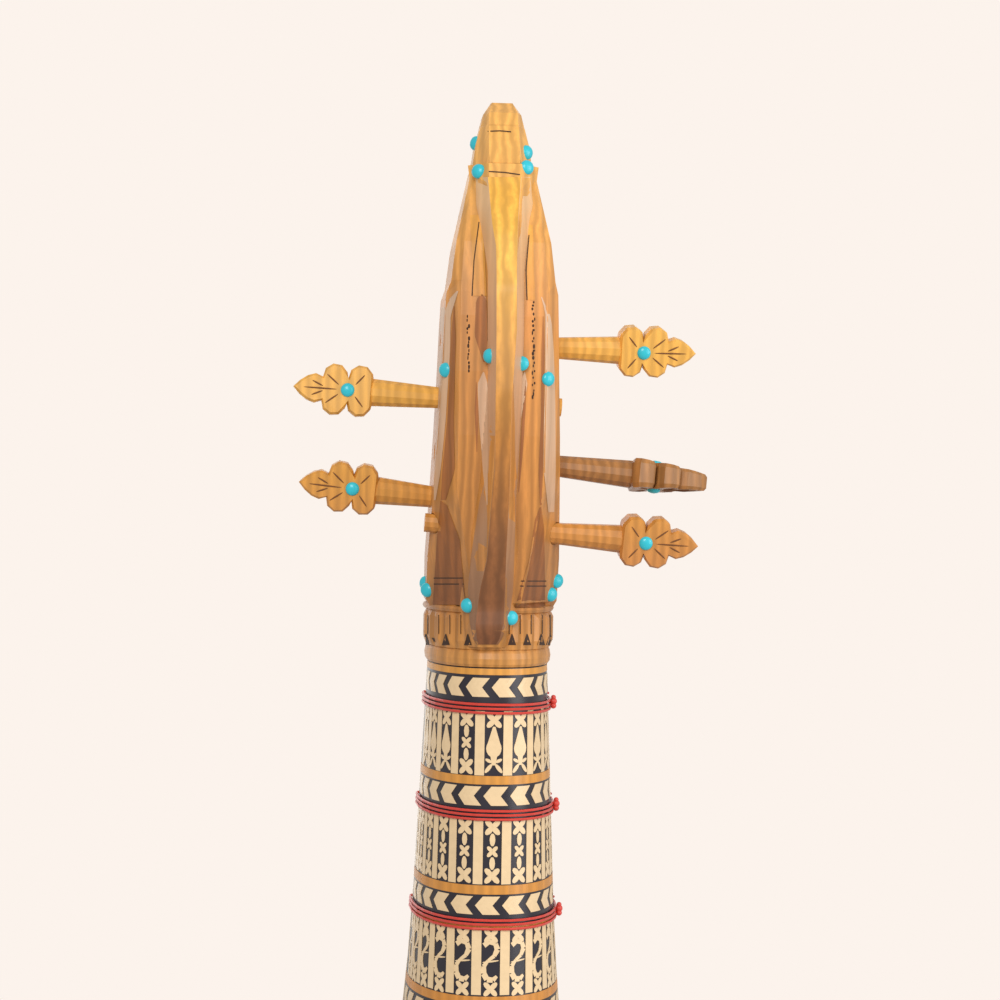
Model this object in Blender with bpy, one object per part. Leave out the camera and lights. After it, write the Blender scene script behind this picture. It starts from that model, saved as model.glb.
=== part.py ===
"""An Afghan rubab, in metres.

+Z runs up the neck to the head, -Y is the side with the strings, and the origin is the
middle of the flat foot at the tail. The hull, chest and neck are hollowed from one block.
The head is a carved block of its own that is tenoned into the neck.
"""

import math
from collections import namedtuple

import bmesh
import bpy
import numpy as np
from mathutils import Vector

GAP = 0.0003  # glued and seated faces lie this far apart

# Lengths from the foot
BRIDGE_Z = 0.115
SCALE_LENGTH = 0.630  # from the bridge to the nut
NUT_Z = BRIDGE_Z + SCALE_LENGTH
HEEL_LAP = 0.023  # the fingerboard runs this far past the neck joint to the nut
JOINT_Z = NUT_Z - HEEL_LAP
BOWL_Z = 0.170  # the widest place
DEEP_Z = 0.190  # the deepest place
WAIST_Z = 0.328
CHEST_Z = 0.372
SLEEVE_LENGTH = 0.1355
SLEEVE_Z = JOINT_Z - SLEEVE_LENGTH
FLARE_DROP = 0.082  # below the joint, where the neck starts to flare
FLARE_Z = JOINT_Z - FLARE_DROP

# Widths and depths of the hull
RIM_Y = -0.045
FOOT_HALF = 0.024
FOOT_DEPTH = 0.088
BOWL_HALF = 0.100
BOWL_DEPTH = 0.172
WAIST_HALF = 0.055
CHEST_HALF = 0.079
CHEST_DEPTH = 0.108
CHEST_HORN_SLOPE = 1.1
NECK_TOP_HALF = 0.0216
NECK_TOP_DEPTH = 0.042
NECK_TAPER = 0.0448
NECK_DEPTH_TAPER = 0.035
ROUNDNESS = 2.3  # the power of the section's curve: 2 is an ellipse
HULL_WALL = 0.006
FOOT_WALL = 0.016
WAIST_WALL = 0.014
CHANNEL_STOP = 0.010  # wood left between the neck channel and the mortise
SLEEVE_T = 0.0015

# The neck joint
TENON_HALF = 0.011
TENON_LENGTH = 0.035
TENON_BACK_Y = -0.016

# The front
SKIN_BOTTOM_Z = 0.010
SKIN_OVER_WAIST = 0.002
SKIN_T = 0.0009
SKIRT = 0.013
PLATE_T = 0.0032
PLATE_CHAMFER = 0.0006
SOUND_HOLE_R = 0.0035
SOUND_HOLE_RING_R = 0.012
SOUND_HOLE_COUNT = 6
SOUND_HOLE_Z = 0.425
SOUND_HOLE_X = 0.030
NUT_WIDTH = 0.005
NUT_HEIGHT = 0.004  # above the fingerboard
NUT_INSET = 0.0011
BRIDGE_HALF = 0.038
BRIDGE_HEIGHT = 0.0195
BRIDGE_FOOT_T = 0.009
BRIDGE_TOP_T = 0.003
BRIDGE_SHOULDER = 0.020
NOTCH_HALF = 0.0009
NOTCH_DEPTH = 0.001
HOLDER_HALF = 0.032
HOLDER_LOW_Z = 0.0012
HOLDER_HEIGHT = 0.008
HOLDER_T = 0.008
PIN_R = 0.0018
PIN_X = 0.026
PIN_DEPTH = 0.012
PIN_HEAD_R = 0.0030
PIN_HEAD_T = 0.0015

# The head, measured up from the neck joint
RING_TOP = 0.0063
COLLAR_TOP = 0.0190
MOULDING_TOP = 0.0216
DRUM_TOP = 0.062
SHOULDER = 0.131
NAPE_RISE = 0.0455  # from the shoulder to the finial
FINIAL_BLOCK = 0.0147
FINIAL_TIP = 0.0093
COLLAR_PROUD = 0.0022
PETALS = 13
PETAL_DEPTH = 0.0010
HEAD_HALF = 0.0200
HEAD_FRONT_Y = -0.040
HEAD_BACK_Y = 0.009
BACK_HALF = 0.0151
CREST_RISE = 0.0125
CREST_LEAN = 0.0027
SLOT_HALF = 0.0125
SLOT_FLOOR_Y = -0.006
SLOT_START = 0.0045  # above the middle of the nut
SLOT_END = 0.015  # above the highest peg

# Main pegs
PEG_SIDES = 12
PEG_MID_R = 0.0036
PEG_TAPER = 0.0128
PEG_CLEARANCE = 0.0003
PEG_SHANK = 0.0235
PEG_GRIP_R = 0.0050
FLOWER_LENGTH = 0.0280
FLOWER_HALF_T = 0.0054
FLOWER_TIP_HALF_T = 0.0030
LOBE_R = 0.0044
LOBE_OUT = 0.0048
NEAR_LOBE = 0.0044
FAR_LOBE = 0.0134

# Sympathetic pegs and strings
SYMPATHETIC_PITCH = 0.0135
SYMPATHETIC_TOP_DROP = 0.0165
SYMPATHETIC_RISE = 0.036  # from the chest's corner to the lowest
SYMPATHETIC_DEPTH = 0.012
SYMPATHETIC_R = 0.0019
SYMPATHETIC_GRIP = 0.0175
SYMPATHETIC_INSIDE = 0.0075
SYMPATHETIC_STRING_IN = 0.0035
STRING_HOLE_R = 0.0013
SYMPATHETIC_LEVEL = 0.009  # holes in the bridge, above its foot
SYMPATHETIC_STRING_R = 0.00025

# Main strings
STRING_R = 0.00045
NUT_SPACING = 0.006
BRIDGE_SPACING = 0.0075
WINDING_TURNS = 3
WINDING_POINTS = 12
WINDING_PITCH = 0.00138

# Tied frets
FRET_R = 0.0005
FRET_GAP = 0.0004
FRET_TURNS = 3
FRET_POINTS = 24
FRET_PITCH = 0.00145
FRET_DROPS = (0.037, 0.0741, 0.1121, 0.153)  # below the nut

Peg = namedtuple("Peg", "name side height y tilt turn reach tail winding string")
# Height above the nut, tilt and turn of the grip in degrees, how far the grip is drawn out,
# how far the other end stands out, where along the axis the string winds, and its string.
MAIN_PEGS = (
    Peg("peg_right_upper", -1, 0.0912, -0.022, 0.7, 12, 0.0, -0.0005, -0.0015, 2),
    Peg("peg_left_upper", 1, 0.0708, -0.018, 3.3, 0, 0.0, 0.0022, 0.0035, 3),
    Peg("peg_right_middle", -1, 0.0506, -0.020, 5.3, 84, 0.0035, -0.0005, -0.0035, 1),
    Peg("peg_left_lower", 1, 0.0346, -0.026, 5.5, -6, -0.0040, -0.0005, 0.0062, 4),
    Peg("peg_right_lower", -1, 0.0259, -0.013, 3.8, 10, -0.0020, 0.0022, -0.0062, 0),
)

NAPE = SHOULDER + NAPE_RISE
FINIAL_GROOVE = NAPE + FINIAL_BLOCK
HEAD_LENGTH = FINIAL_GROOVE + FINIAL_TIP
FINGERBOARD_Y = RIM_Y - GAP - PLATE_T
NUT_TOP_Y = FINGERBOARD_Y - NUT_HEIGHT
SKIN_FRONT_Y = RIM_Y - GAP - SKIN_T
BRIDGE_FOOT_Y = SKIN_FRONT_Y - GAP
BRIDGE_TOP_Y = BRIDGE_FOOT_Y - BRIDGE_HEIGHT
HOLDER_TOP_Z = HOLDER_LOW_Z + HOLDER_HEIGHT
SKIN_TOP_Z = WAIST_Z + SKIN_OVER_WAIST
PLATE_LOW_Z = SKIN_TOP_Z + 0.001
SLEEVE_STEP = SLEEVE_T + GAP
MAIN_COUNT = len(MAIN_PEGS)
SYMPATHETIC_TOP_Z = SLEEVE_Z - SYMPATHETIC_TOP_DROP
SYMPATHETIC_COUNT = 1 + round((SYMPATHETIC_TOP_Z - CHEST_Z - SYMPATHETIC_RISE) / SYMPATHETIC_PITCH)


def clear_scene():
    for obj in list(bpy.data.objects):
        bpy.data.objects.remove(obj, do_unlink=True)


def material(name, color, roughness, metallic=0.0):
    found = bpy.data.materials.get(name)
    if found:
        return found
    made = bpy.data.materials.new(name)
    made.use_nodes = True
    shader = made.node_tree.nodes["Principled BSDF"]
    shader.inputs["Base Color"].default_value = (*color, 1.0)
    shader.inputs["Roughness"].default_value = roughness
    shader.inputs["Metallic"].default_value = metallic
    return made


def wood():
    return material("oiled mulberry", (0.62, 0.33, 0.09), 0.45)


def bone():
    return material("polished bone", (0.82, 0.72, 0.52), 0.35)


def place(name, mesh, finish, location=(0, 0, 0), parent=None, smooth=True):
    """Links a mesh as a named object, in its parent's frame where it has one."""
    if smooth:
        mesh.shade_smooth()
        mesh.set_sharp_from_angle(angle=math.radians(32))
    obj = bpy.data.objects.new(name, mesh)
    bpy.context.scene.collection.objects.link(obj)
    mesh.materials.append(finish)
    obj.parent = parent
    obj.location = location
    return obj


def mesh_of(name, bm):
    bmesh.ops.recalc_face_normals(bm, faces=bm.faces)
    mesh = bpy.data.meshes.new(name)
    bm.to_mesh(mesh)
    bm.free()
    return mesh


def add_loft(bm, rows):
    """A closed solid through rings of points, each ring in the same order."""
    rings = [[bm.verts.new(point) for point in row] for row in rows]
    count = len(rings[0])
    for low, high in zip(rings, rings[1:]):
        for i in range(count):
            j = (i + 1) % count
            bm.faces.new((low[i], low[j], high[j], high[i]))
    bm.faces.new(rings[0])
    bm.faces.new(rings[-1])


def loft(name, rows):
    bm = bmesh.new()
    add_loft(bm, rows)
    return mesh_of(name, bm)


def add_box(bm, low, high):
    rows = []
    for z in (low[2], high[2]):
        rows.append([(low[0], low[1], z), (high[0], low[1], z), (high[0], high[1], z), (low[0], high[1], z)])
    add_loft(bm, rows)


def add_rod(bm, start, axis, stations, sides):
    """A turned rod: stations are (distance along the axis, radius)."""
    axis = Vector(axis).normalized()
    side = Vector((0, 1, 0)) if abs(axis.y) < 0.9 else Vector((1, 0, 0))
    first = (side - axis * side.dot(axis)).normalized()
    second = axis.cross(first)
    rows = []
    for along, radius in stations:
        ring = []
        for i in range(sides):
            angle = 2 * math.pi * (i + 0.5) / sides
            ring.append(
                Vector(start) + axis * along + radius * (math.cos(angle) * first + math.sin(angle) * second)
            )
        rows.append(ring)
    add_loft(bm, rows)


def helper(name, mesh, parent=None):
    """A cutter or a shape that a Boolean joins: it isn't a piece of its own."""
    obj = bpy.data.objects.new(name, mesh)
    bpy.context.scene.collection.objects.link(obj)
    obj.parent = parent
    obj.hide_render = True
    obj.display_type = "WIRE"
    return obj


def boolean(target, other, operation):
    step = target.modifiers.new(other.name, "BOOLEAN")
    step.operation = operation
    step.solver = "EXACT"
    step.object = other


def hermite(z, z0, v0, slope0, z1, v1, slope1):
    span = z1 - z0
    t = (z - z0) / span
    return (
        (2 * t**3 - 3 * t**2 + 1) * v0
        + (t**3 - 2 * t**2 + t) * span * slope0
        + (3 * t**2 - 2 * t**3) * v1
        + (t**3 - t**2) * span * slope1
    )


def quarter(z, top_z, low, high):
    """A quarter ellipse that leaves the foot flat and arrives upright."""
    return low + (high - low) * math.sqrt(max(0.0, 1 - (1 - z / top_z) ** 2))


def flare_gain(chest, top, taper):
    return (chest - top - taper * (JOINT_Z - CHEST_Z)) / (FLARE_Z - CHEST_Z) ** 2


def upper(z, chest, top, taper):
    """The neck's straight taper, and its flare into the chest."""
    flare = max(0.0, FLARE_Z - z)
    return top + taper * (JOINT_Z - z) + flare_gain(chest, top, taper) * flare**2


def half_width(z):
    if z <= BOWL_Z:
        return quarter(z, BOWL_Z, FOOT_HALF, BOWL_HALF)
    if z <= WAIST_Z:
        return hermite(z, BOWL_Z, BOWL_HALF, 0, WAIST_Z, WAIST_HALF, 0)
    if z <= CHEST_Z:
        return hermite(z, WAIST_Z, WAIST_HALF, 0, CHEST_Z, CHEST_HALF, CHEST_HORN_SLOPE)
    return upper(z, CHEST_HALF, NECK_TOP_HALF, NECK_TAPER)


def depth(z):
    if z <= DEEP_Z:
        return quarter(z, DEEP_Z, FOOT_DEPTH, BOWL_DEPTH)
    if z <= CHEST_Z:
        gain = flare_gain(CHEST_DEPTH, NECK_TOP_DEPTH, NECK_DEPTH_TAPER)
        slope = -NECK_DEPTH_TAPER - 2 * gain * (FLARE_Z - CHEST_Z)
        return hermite(z, DEEP_Z, BOWL_DEPTH, 0, CHEST_Z, CHEST_DEPTH, slope)
    return upper(z, CHEST_DEPTH, NECK_TOP_DEPTH, NECK_DEPTH_TAPER)


def u_points(half, deep, z, steps=20):
    """From one rim round the back to the other."""
    points = []
    for i in range(steps + 1):
        angle = math.pi * i / steps
        across = math.cos(angle)
        back = math.sin(angle)
        x = -half * math.copysign(abs(across) ** (2 / ROUNDNESS), across)
        y = RIM_Y + deep * abs(back) ** (2 / ROUNDNESS)
        points.append(Vector((x, y, z)))
    return points


def spread(low, high, steps):
    return [low + (high - low) * i / steps for i in range(steps + 1)]


def body_stations():
    foot = [BOWL_Z * (1 - math.cos(math.pi / 2 * i / 8)) for i in range(9)]
    places = foot + [SKIN_BOTTOM_Z, SKIN_TOP_Z]
    places += spread(BOWL_Z, WAIST_Z, 8) + spread(WAIST_Z, CHEST_Z, 5) + spread(CHEST_Z, SLEEVE_Z, 8)
    return sorted({round(z, 6) for z in places})


def neck_stations():
    return spread(SLEEVE_Z, JOINT_Z, 5)


def hull_neck_stations():
    """The bare neck under the sleeve starts on a small slope, not on a step."""
    return [SLEEVE_Z + GAP] + neck_stations()[1:]


def chamber(low_z, high_z, steps, wall):
    """The hollow of one chamber, open through the rim."""
    rows = []
    for z in spread(low_z, high_z, steps):
        inner = half_width(z) - wall
        ring = u_points(inner, depth(z) - wall, z, 16)
        over = RIM_Y - 0.005
        rows.append([Vector((-inner, over, z))] + ring + [Vector((inner, over, z))])
    return rows


def sympathetic_places():
    """The height of each sympathetic peg, lowest first."""
    return [SYMPATHETIC_TOP_Z - SYMPATHETIC_PITCH * i for i in reversed(range(SYMPATHETIC_COUNT))]


def peg_row_y():
    return RIM_Y + SYMPATHETIC_DEPTH


def side_at_pegs(z):
    """The half width of the outside of the hull at the height of the sympathetic pegs."""
    share = (SYMPATHETIC_DEPTH / depth(z)) ** ROUNDNESS
    return half_width(z) * (1 - share) ** (1 / ROUNDNESS)


def make_hull():
    rows = [u_points(half_width(z), depth(z), z) for z in body_stations()]
    rows += [u_points(half_width(z) - SLEEVE_STEP, depth(z) - SLEEVE_STEP, z) for z in hull_neck_stations()]
    hull = place("hull", loft("hull", rows), wood())

    chest_wall = HULL_WALL + SLEEVE_STEP
    channel_top = JOINT_Z - TENON_LENGTH - CHANNEL_STOP
    bm = bmesh.new()
    add_loft(bm, chamber(FOOT_WALL, WAIST_Z - WAIST_WALL / 2, 11, HULL_WALL))
    add_loft(bm, chamber(WAIST_Z + WAIST_WALL / 2, channel_top, 11, chest_wall))
    add_box(
        bm,
        (-TENON_HALF - GAP, RIM_Y - 0.001, JOINT_Z - TENON_LENGTH - GAP),
        (TENON_HALF + GAP, TENON_BACK_Y + GAP, JOINT_Z + 0.001),
    )
    for side in (-1, 1):
        start = (side * PIN_X, RIM_Y - 0.001, holder_middle_z())
        add_rod(bm, start, (0, 1, 0), [(0, PIN_R + GAP), (PIN_DEPTH + GAP + 0.001, PIN_R + GAP)], 8)
    boolean(hull, helper("hollows", mesh_of("hollows", bm)), "DIFFERENCE")

    bm = bmesh.new()
    for z in sympathetic_places():
        wide = half_width(z)
        start = (-wide - 0.004, peg_row_y(), z)
        reach = 0.004 + chest_wall + 0.004
        add_rod(bm, start, (1, 0, 0), [(0, SYMPATHETIC_R + PEG_CLEARANCE), (reach, SYMPATHETIC_R + PEG_CLEARANCE)], 8)
    boolean(hull, helper("side_peg_holes", mesh_of("side_peg_holes", bm)), "DIFFERENCE")
    return hull


def holder_middle_z():
    return HOLDER_LOW_Z + HOLDER_HEIGHT / 2


def make_sleeve():
    """The inlaid shell round the back of the neck."""
    rows = []
    for z in [SLEEVE_Z + 2 * GAP] + neck_stations()[1:]:
        outer = u_points(half_width(z), depth(z), z)
        inner = u_points(half_width(z) - SLEEVE_T, depth(z) - SLEEVE_T, z)
        rows.append(outer + inner[::-1])
    return place("neck_inlay", loft("neck_inlay", rows), material("bone and black inlay", (0.55, 0.48, 0.36), 0.4))


def plate_ring(half, z):
    """A thin board on the rim plane, its front edges chamfered."""
    back = RIM_Y - GAP
    c = PLATE_CHAMFER
    return [
        Vector((-half, back, z)),
        Vector((-half, FINGERBOARD_Y + c, z)),
        Vector((c - half, FINGERBOARD_Y, z)),
        Vector((half - c, FINGERBOARD_Y, z)),
        Vector((half, FINGERBOARD_Y + c, z)),
        Vector((half, back, z)),
    ]


def make_fingerboard():
    top = NUT_Z - NUT_WIDTH / 2 - GAP
    rows = [plate_ring(half_width(z), z) for z in neck_stations()]
    rows.append(plate_ring(NECK_TOP_HALF, top))
    return place("fingerboard", loft("fingerboard", rows), bone())


def string_hole_x(z):
    return -(half_width(z) - HULL_WALL - SLEEVE_STEP - SYMPATHETIC_STRING_IN)


def make_chest_plate():
    top = SLEEVE_Z - GAP
    stations = [z for z in body_stations() if PLATE_LOW_Z < z < top]
    rows = [plate_ring(half_width(z), z) for z in [PLATE_LOW_Z] + stations + [top]]
    plate = place("chest_plate", loft("chest_plate", rows), wood())
    bm = bmesh.new()
    front = FINGERBOARD_Y - 0.002
    through = PLATE_T + 0.004
    for z in sympathetic_places():
        add_rod(bm, (string_hole_x(z), front, z), (0, 1, 0), [(0, STRING_HOLE_R), (through, STRING_HOLE_R)], 6)
    for side in (-1, 1):
        holes = [(side * SOUND_HOLE_X, SOUND_HOLE_Z)]
        for i in range(SOUND_HOLE_COUNT):
            angle = 2 * math.pi * i / SOUND_HOLE_COUNT
            x = side * SOUND_HOLE_X + SOUND_HOLE_RING_R * math.cos(angle)
            holes.append((x, SOUND_HOLE_Z + SOUND_HOLE_RING_R * math.sin(angle)))
        for x, z in holes:
            add_rod(bm, (x, front, z), (0, 1, 0), [(0, SOUND_HOLE_R), (through, SOUND_HOLE_R)], 10)
    boolean(plate, helper("plate_holes", mesh_of("plate_holes", bm)), "DIFFERENCE")
    return plate


def make_skin():
    """The goatskin belly: flat over the bowl, and glued down round its sides."""
    stations = [z for z in body_stations() if SKIN_BOTTOM_Z - 1e-6 <= z <= SKIN_TOP_Z + 1e-6]
    skirt = RIM_Y + SKIRT
    back = RIM_Y - GAP
    step = 1e-4
    rows = []
    for z in stations:
        slope = (half_width(z + step) - half_width(z - step)) / (2 * step)
        slant = math.hypot(1, slope)
        inner = half_width(z) + GAP * slant
        outer = half_width(z) + (GAP + SKIN_T) * slant
        ring = [(-outer, skirt), (-outer, SKIN_FRONT_Y), (outer, SKIN_FRONT_Y), (outer, skirt)]
        ring += [(inner, skirt), (inner, back), (-inner, back), (-inner, skirt)]
        rows.append([Vector((x, y, z)) for x, y in ring])
    return place("skin", loft("skin", rows), material("stretched goatskin", (0.84, 0.76, 0.60), 0.6))


def make_nut():
    half = NECK_TOP_HALF - NUT_INSET
    back = RIM_Y - GAP
    rows = []
    for z, front in (
        (-NUT_WIDTH / 2, NUT_TOP_Y + 0.001),
        (-NUT_WIDTH / 4, NUT_TOP_Y),
        (NUT_WIDTH / 4, NUT_TOP_Y),
        (NUT_WIDTH / 2, NUT_TOP_Y + 0.001),
    ):
        rows.append([Vector((x, y, z)) for x, y in ((-half, back), (-half, front), (half, front), (half, back))])
    nut = place("nut", loft("nut", rows), bone(), (0, 0, NUT_Z))
    bm = bmesh.new()
    for i in range(MAIN_COUNT):
        x = NUT_SPACING * (i - (MAIN_COUNT - 1) / 2)
        low = (x - NOTCH_HALF, NUT_TOP_Y - 0.002, -NUT_WIDTH)
        high = (x + NOTCH_HALF, NUT_TOP_Y + NOTCH_DEPTH, NUT_WIDTH)
        add_box(bm, low, high)
    boolean(nut, helper("nut_notches", mesh_of("nut_notches", bm), nut), "DIFFERENCE")
    return nut


def sympathetic_bridge_x(index):
    pitch = (BRIDGE_HALF - 0.008) / (SYMPATHETIC_COUNT - 1)
    return -BRIDGE_HALF + 0.004 + pitch * index


def make_bridge():
    """Stands on the skin: main strings on its top, sympathetic strings through its face."""
    rows = []
    for rise, half, thick in (
        (0.0, BRIDGE_HALF, BRIDGE_FOOT_T),
        (0.30, BRIDGE_HALF, BRIDGE_FOOT_T * 0.8),
        (0.62, BRIDGE_HALF, BRIDGE_FOOT_T * 0.55),
        (0.86, BRIDGE_SHOULDER, BRIDGE_TOP_T * 1.25),
        (1.0, BRIDGE_SHOULDER, BRIDGE_TOP_T),
    ):
        y = -rise * BRIDGE_HEIGHT
        rows.append(
            [Vector((x, y, z)) for x, z in ((-half, -thick / 2), (half, -thick / 2), (half, thick / 2), (-half, thick / 2))]
        )
    bridge = place("bridge", loft("bridge", rows), bone(), (0, BRIDGE_FOOT_Y, BRIDGE_Z))
    bm = bmesh.new()
    for i in range(MAIN_COUNT):
        x = BRIDGE_SPACING * (i - (MAIN_COUNT - 1) / 2)
        low = (x - NOTCH_HALF, -BRIDGE_HEIGHT - 0.002, -BRIDGE_FOOT_T)
        add_box(bm, low, (x + NOTCH_HALF, NOTCH_DEPTH - BRIDGE_HEIGHT, BRIDGE_FOOT_T))
    hole_r = SYMPATHETIC_STRING_R + GAP + 0.0001
    for i in range(SYMPATHETIC_COUNT):
        start = (sympathetic_bridge_x(i), -SYMPATHETIC_LEVEL, -BRIDGE_FOOT_T)
        add_rod(bm, start, (0, 0, 1), [(0, hole_r), (2 * BRIDGE_FOOT_T, hole_r)], 6)
    # The passage between the two feet
    arch = BRIDGE_HALF * 0.45
    add_box(bm, (-arch, -0.004, -BRIDGE_FOOT_T), (arch, 0.002, BRIDGE_FOOT_T))
    boolean(bridge, helper("bridge_cuts", mesh_of("bridge_cuts", bm), bridge), "DIFFERENCE")
    return bridge


def make_string_holder():
    back = RIM_Y - GAP
    front = back - HOLDER_T
    c = 0.0015
    rows = []
    for x in (-HOLDER_HALF, HOLDER_HALF):
        ring = [(back, HOLDER_LOW_Z), (front + c, HOLDER_LOW_Z), (front, HOLDER_LOW_Z + c)]
        ring += [(front, HOLDER_TOP_Z - c), (front + c, HOLDER_TOP_Z), (back, HOLDER_TOP_Z)]
        rows.append([Vector((x, y, z)) for y, z in ring])
    holder = place("string_holder", loft("string_holder", rows), bone())
    bm = bmesh.new()
    for side in (-1, 1):
        start = (side * PIN_X, front - 0.002, holder_middle_z())
        add_rod(bm, start, (0, 1, 0), [(0, PIN_R + GAP), (HOLDER_T + 0.004, PIN_R + GAP)], 8)
    boolean(holder, helper("holder_holes", mesh_of("holder_holes", bm)), "DIFFERENCE")
    for side, name in ((-1, "holder_pin_right"), (1, "holder_pin_left")):
        face = HOLDER_T + GAP
        bm = bmesh.new()
        stations = [(-PIN_DEPTH, PIN_R), (face + GAP, PIN_R), (face + GAP, PIN_HEAD_R)]
        stations += [(face + GAP + PIN_HEAD_T * 0.6, PIN_HEAD_R), (face + GAP + PIN_HEAD_T, PIN_HEAD_R * 0.6)]
        add_rod(bm, (0, 0, 0), (0, -1, 0), stations, 8)
        place(name, mesh_of(name, bm), wood(), (side * PIN_X, RIM_Y, holder_middle_z()))
    return holder


Section = namedtuple("Section", "height half back_half front side back")


def head_sections():
    """The pegbox and finial: heights above the joint, half widths, then y of three edges."""
    base = NECK_TOP_HALF + COLLAR_PROUD
    box = HEAD_HALF
    front = HEAD_FRONT_Y
    back = HEAD_BACK_Y
    flat = BACK_HALF
    rise = SHOULDER - DRUM_TOP
    top = NAPE_RISE
    block = FINIAL_BLOCK
    tip = FINIAL_TIP
    return (
        Section(MOULDING_TOP - 0.0010, base - 0.0016, flat * 0.38, front - 0.002, -0.026, back - 0.0124),
        Section(MOULDING_TOP + 0.0014, base - 0.0002, flat * 0.56, front - 0.004, -0.026, back - 0.009),
        Section(DRUM_TOP * 0.62, base - 0.0002, flat * 0.72, front - 0.004, -0.020, back - 0.006),
        Section(DRUM_TOP, box + 0.0024, flat, front - 0.0025, -0.010, back - 0.003),
        Section(DRUM_TOP + rise * 0.28, box + 0.0015, flat, front - 0.001, -0.004, back - 0.001),
        Section(DRUM_TOP + rise * 0.60, box + 0.0006, flat, front - 0.0005, -0.002, back),
        Section(DRUM_TOP + rise * 0.88, box, flat, front, -0.001, back),
        Section(SHOULDER, box - 0.0004, flat, front, 0.0, back - 0.0005),
        Section(SHOULDER + 0.004, box - 0.0018, flat - 0.0002, front + 0.0005, back - 0.0055, back - 0.0015),
        Section(SHOULDER + top * 0.39, box - 0.0034, flat - 0.0011, front + 0.002, back - 0.007, back - 0.0045),
        Section(SHOULDER + top * 0.67, box - 0.0060, flat - 0.0025, front + 0.005, back - 0.012, back - 0.0095),
        Section(NAPE - 0.0004, box - 0.0090, flat - 0.0047, front + 0.008, back - 0.018, back - 0.016),
        Section(NAPE + 0.0004, box - 0.0094, 0.0053, front + 0.0085, back - 0.021, back - 0.010),
        Section(NAPE + block * 0.58, box - 0.0106, 0.0054, front + 0.010, back - 0.022, back - 0.0135),
        Section(FINIAL_GROOVE - 0.0004, box - 0.0120, 0.0052, front + 0.011, back - 0.023, back - 0.0165),
        Section(FINIAL_GROOVE + 0.0004, box - 0.0122, 0.0052, front + 0.011, back - 0.024, back - 0.0175),
        Section(FINIAL_GROOVE + tip * 0.52, box - 0.0132, 0.0050, front + 0.0115, back - 0.025, back - 0.0195),
        Section(HEAD_LENGTH, box - 0.0160, 0.0037, front + 0.0125, back - 0.028, back - 0.026),
    )


def read_between(rows, height):
    """The section at a height, read in a straight line between its neighbours."""
    for low, high in zip(rows, rows[1:]):
        if height <= high.height:
            t = (height - low.height) / (high.height - low.height)
            return Section(*[a + (b - a) * t for a, b in zip(low, high)])
    return rows[-1]


def section_ring(s):
    c = 0.0015
    return [
        Vector((x, y, s.height))
        for x, y in (
            (c - s.half, s.front),
            (s.half - c, s.front),
            (s.half, s.front + c),
            (s.half, s.side),
            (s.back_half, s.back),
            (-s.back_half, s.back),
            (-s.half, s.side),
            (-s.half, s.front + c),
        )
    ]


Crest = namedtuple("Crest", "height top_half base_half rise")


def crest_rows():
    """The ridge down the middle of the back, from over the collar to under the finial."""
    r = CREST_RISE
    span = SHOULDER - MOULDING_TOP
    top = NAPE_RISE
    return (
        Crest(RING_TOP + 0.0012, 0.0040, 0.0050, 0.0014),
        Crest(COLLAR_TOP * 0.71, 0.0052, 0.0073, 0.0050),
        Crest(MOULDING_TOP, 0.0047, 0.0086, r * 0.46),
        Crest(MOULDING_TOP + span * 0.18, 0.0034, 0.0082, r * 0.66),
        Crest(MOULDING_TOP + span * 0.41, 0.0032, 0.0065, r * 0.88),
        Crest(MOULDING_TOP + span * 0.68, 0.0026, 0.0053, r),
        Crest(SHOULDER, 0.0028, 0.0064, r),
        Crest(SHOULDER + top * 0.45, 0.0041, 0.0076, r * 0.84),
        Crest(SHOULDER + top * 0.80, 0.0058, 0.0098, r * 0.62),
        Crest(NAPE, 0.0056, 0.0100, r * 0.42),
    )


def crest_lean(height):
    """The crest is carved by eye: its lower end swings to one side."""
    start = DRUM_TOP * 1.4
    return CREST_LEAN * max(0.0, start - height) / start


def back_at(height):
    """The y of the back beside the crest."""
    rows = head_sections()
    if height < rows[0].height:
        return RIM_Y + NECK_TOP_DEPTH + COLLAR_PROUD
    return read_between(rows, height).back


def crest_ring(c):
    back = back_at(c.height)
    shift = crest_lean(c.height)
    under = 0.003
    root_half = c.base_half + (c.base_half - c.top_half) * under / c.rise
    ring = (
        (-root_half, back - under),
        (root_half, back - under),
        (c.top_half, back + c.rise),
        (-c.top_half, back + c.rise),
    )
    return [Vector((x + shift, y, c.height)) for x, y in ring]


def heel_ring(height, proud, petal):
    """The neck's section carried up into the head, proud of the neck by a carved amount."""
    steps = PETALS * 3
    ring = u_points(NECK_TOP_HALF + proud, NECK_TOP_DEPTH + proud, height, steps)
    low = u_points(NECK_TOP_HALF + proud - petal, NECK_TOP_DEPTH + proud - petal, height, steps)
    return [low[i] if i % 3 == 0 else ring[i] for i in range(steps + 1)]


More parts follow.
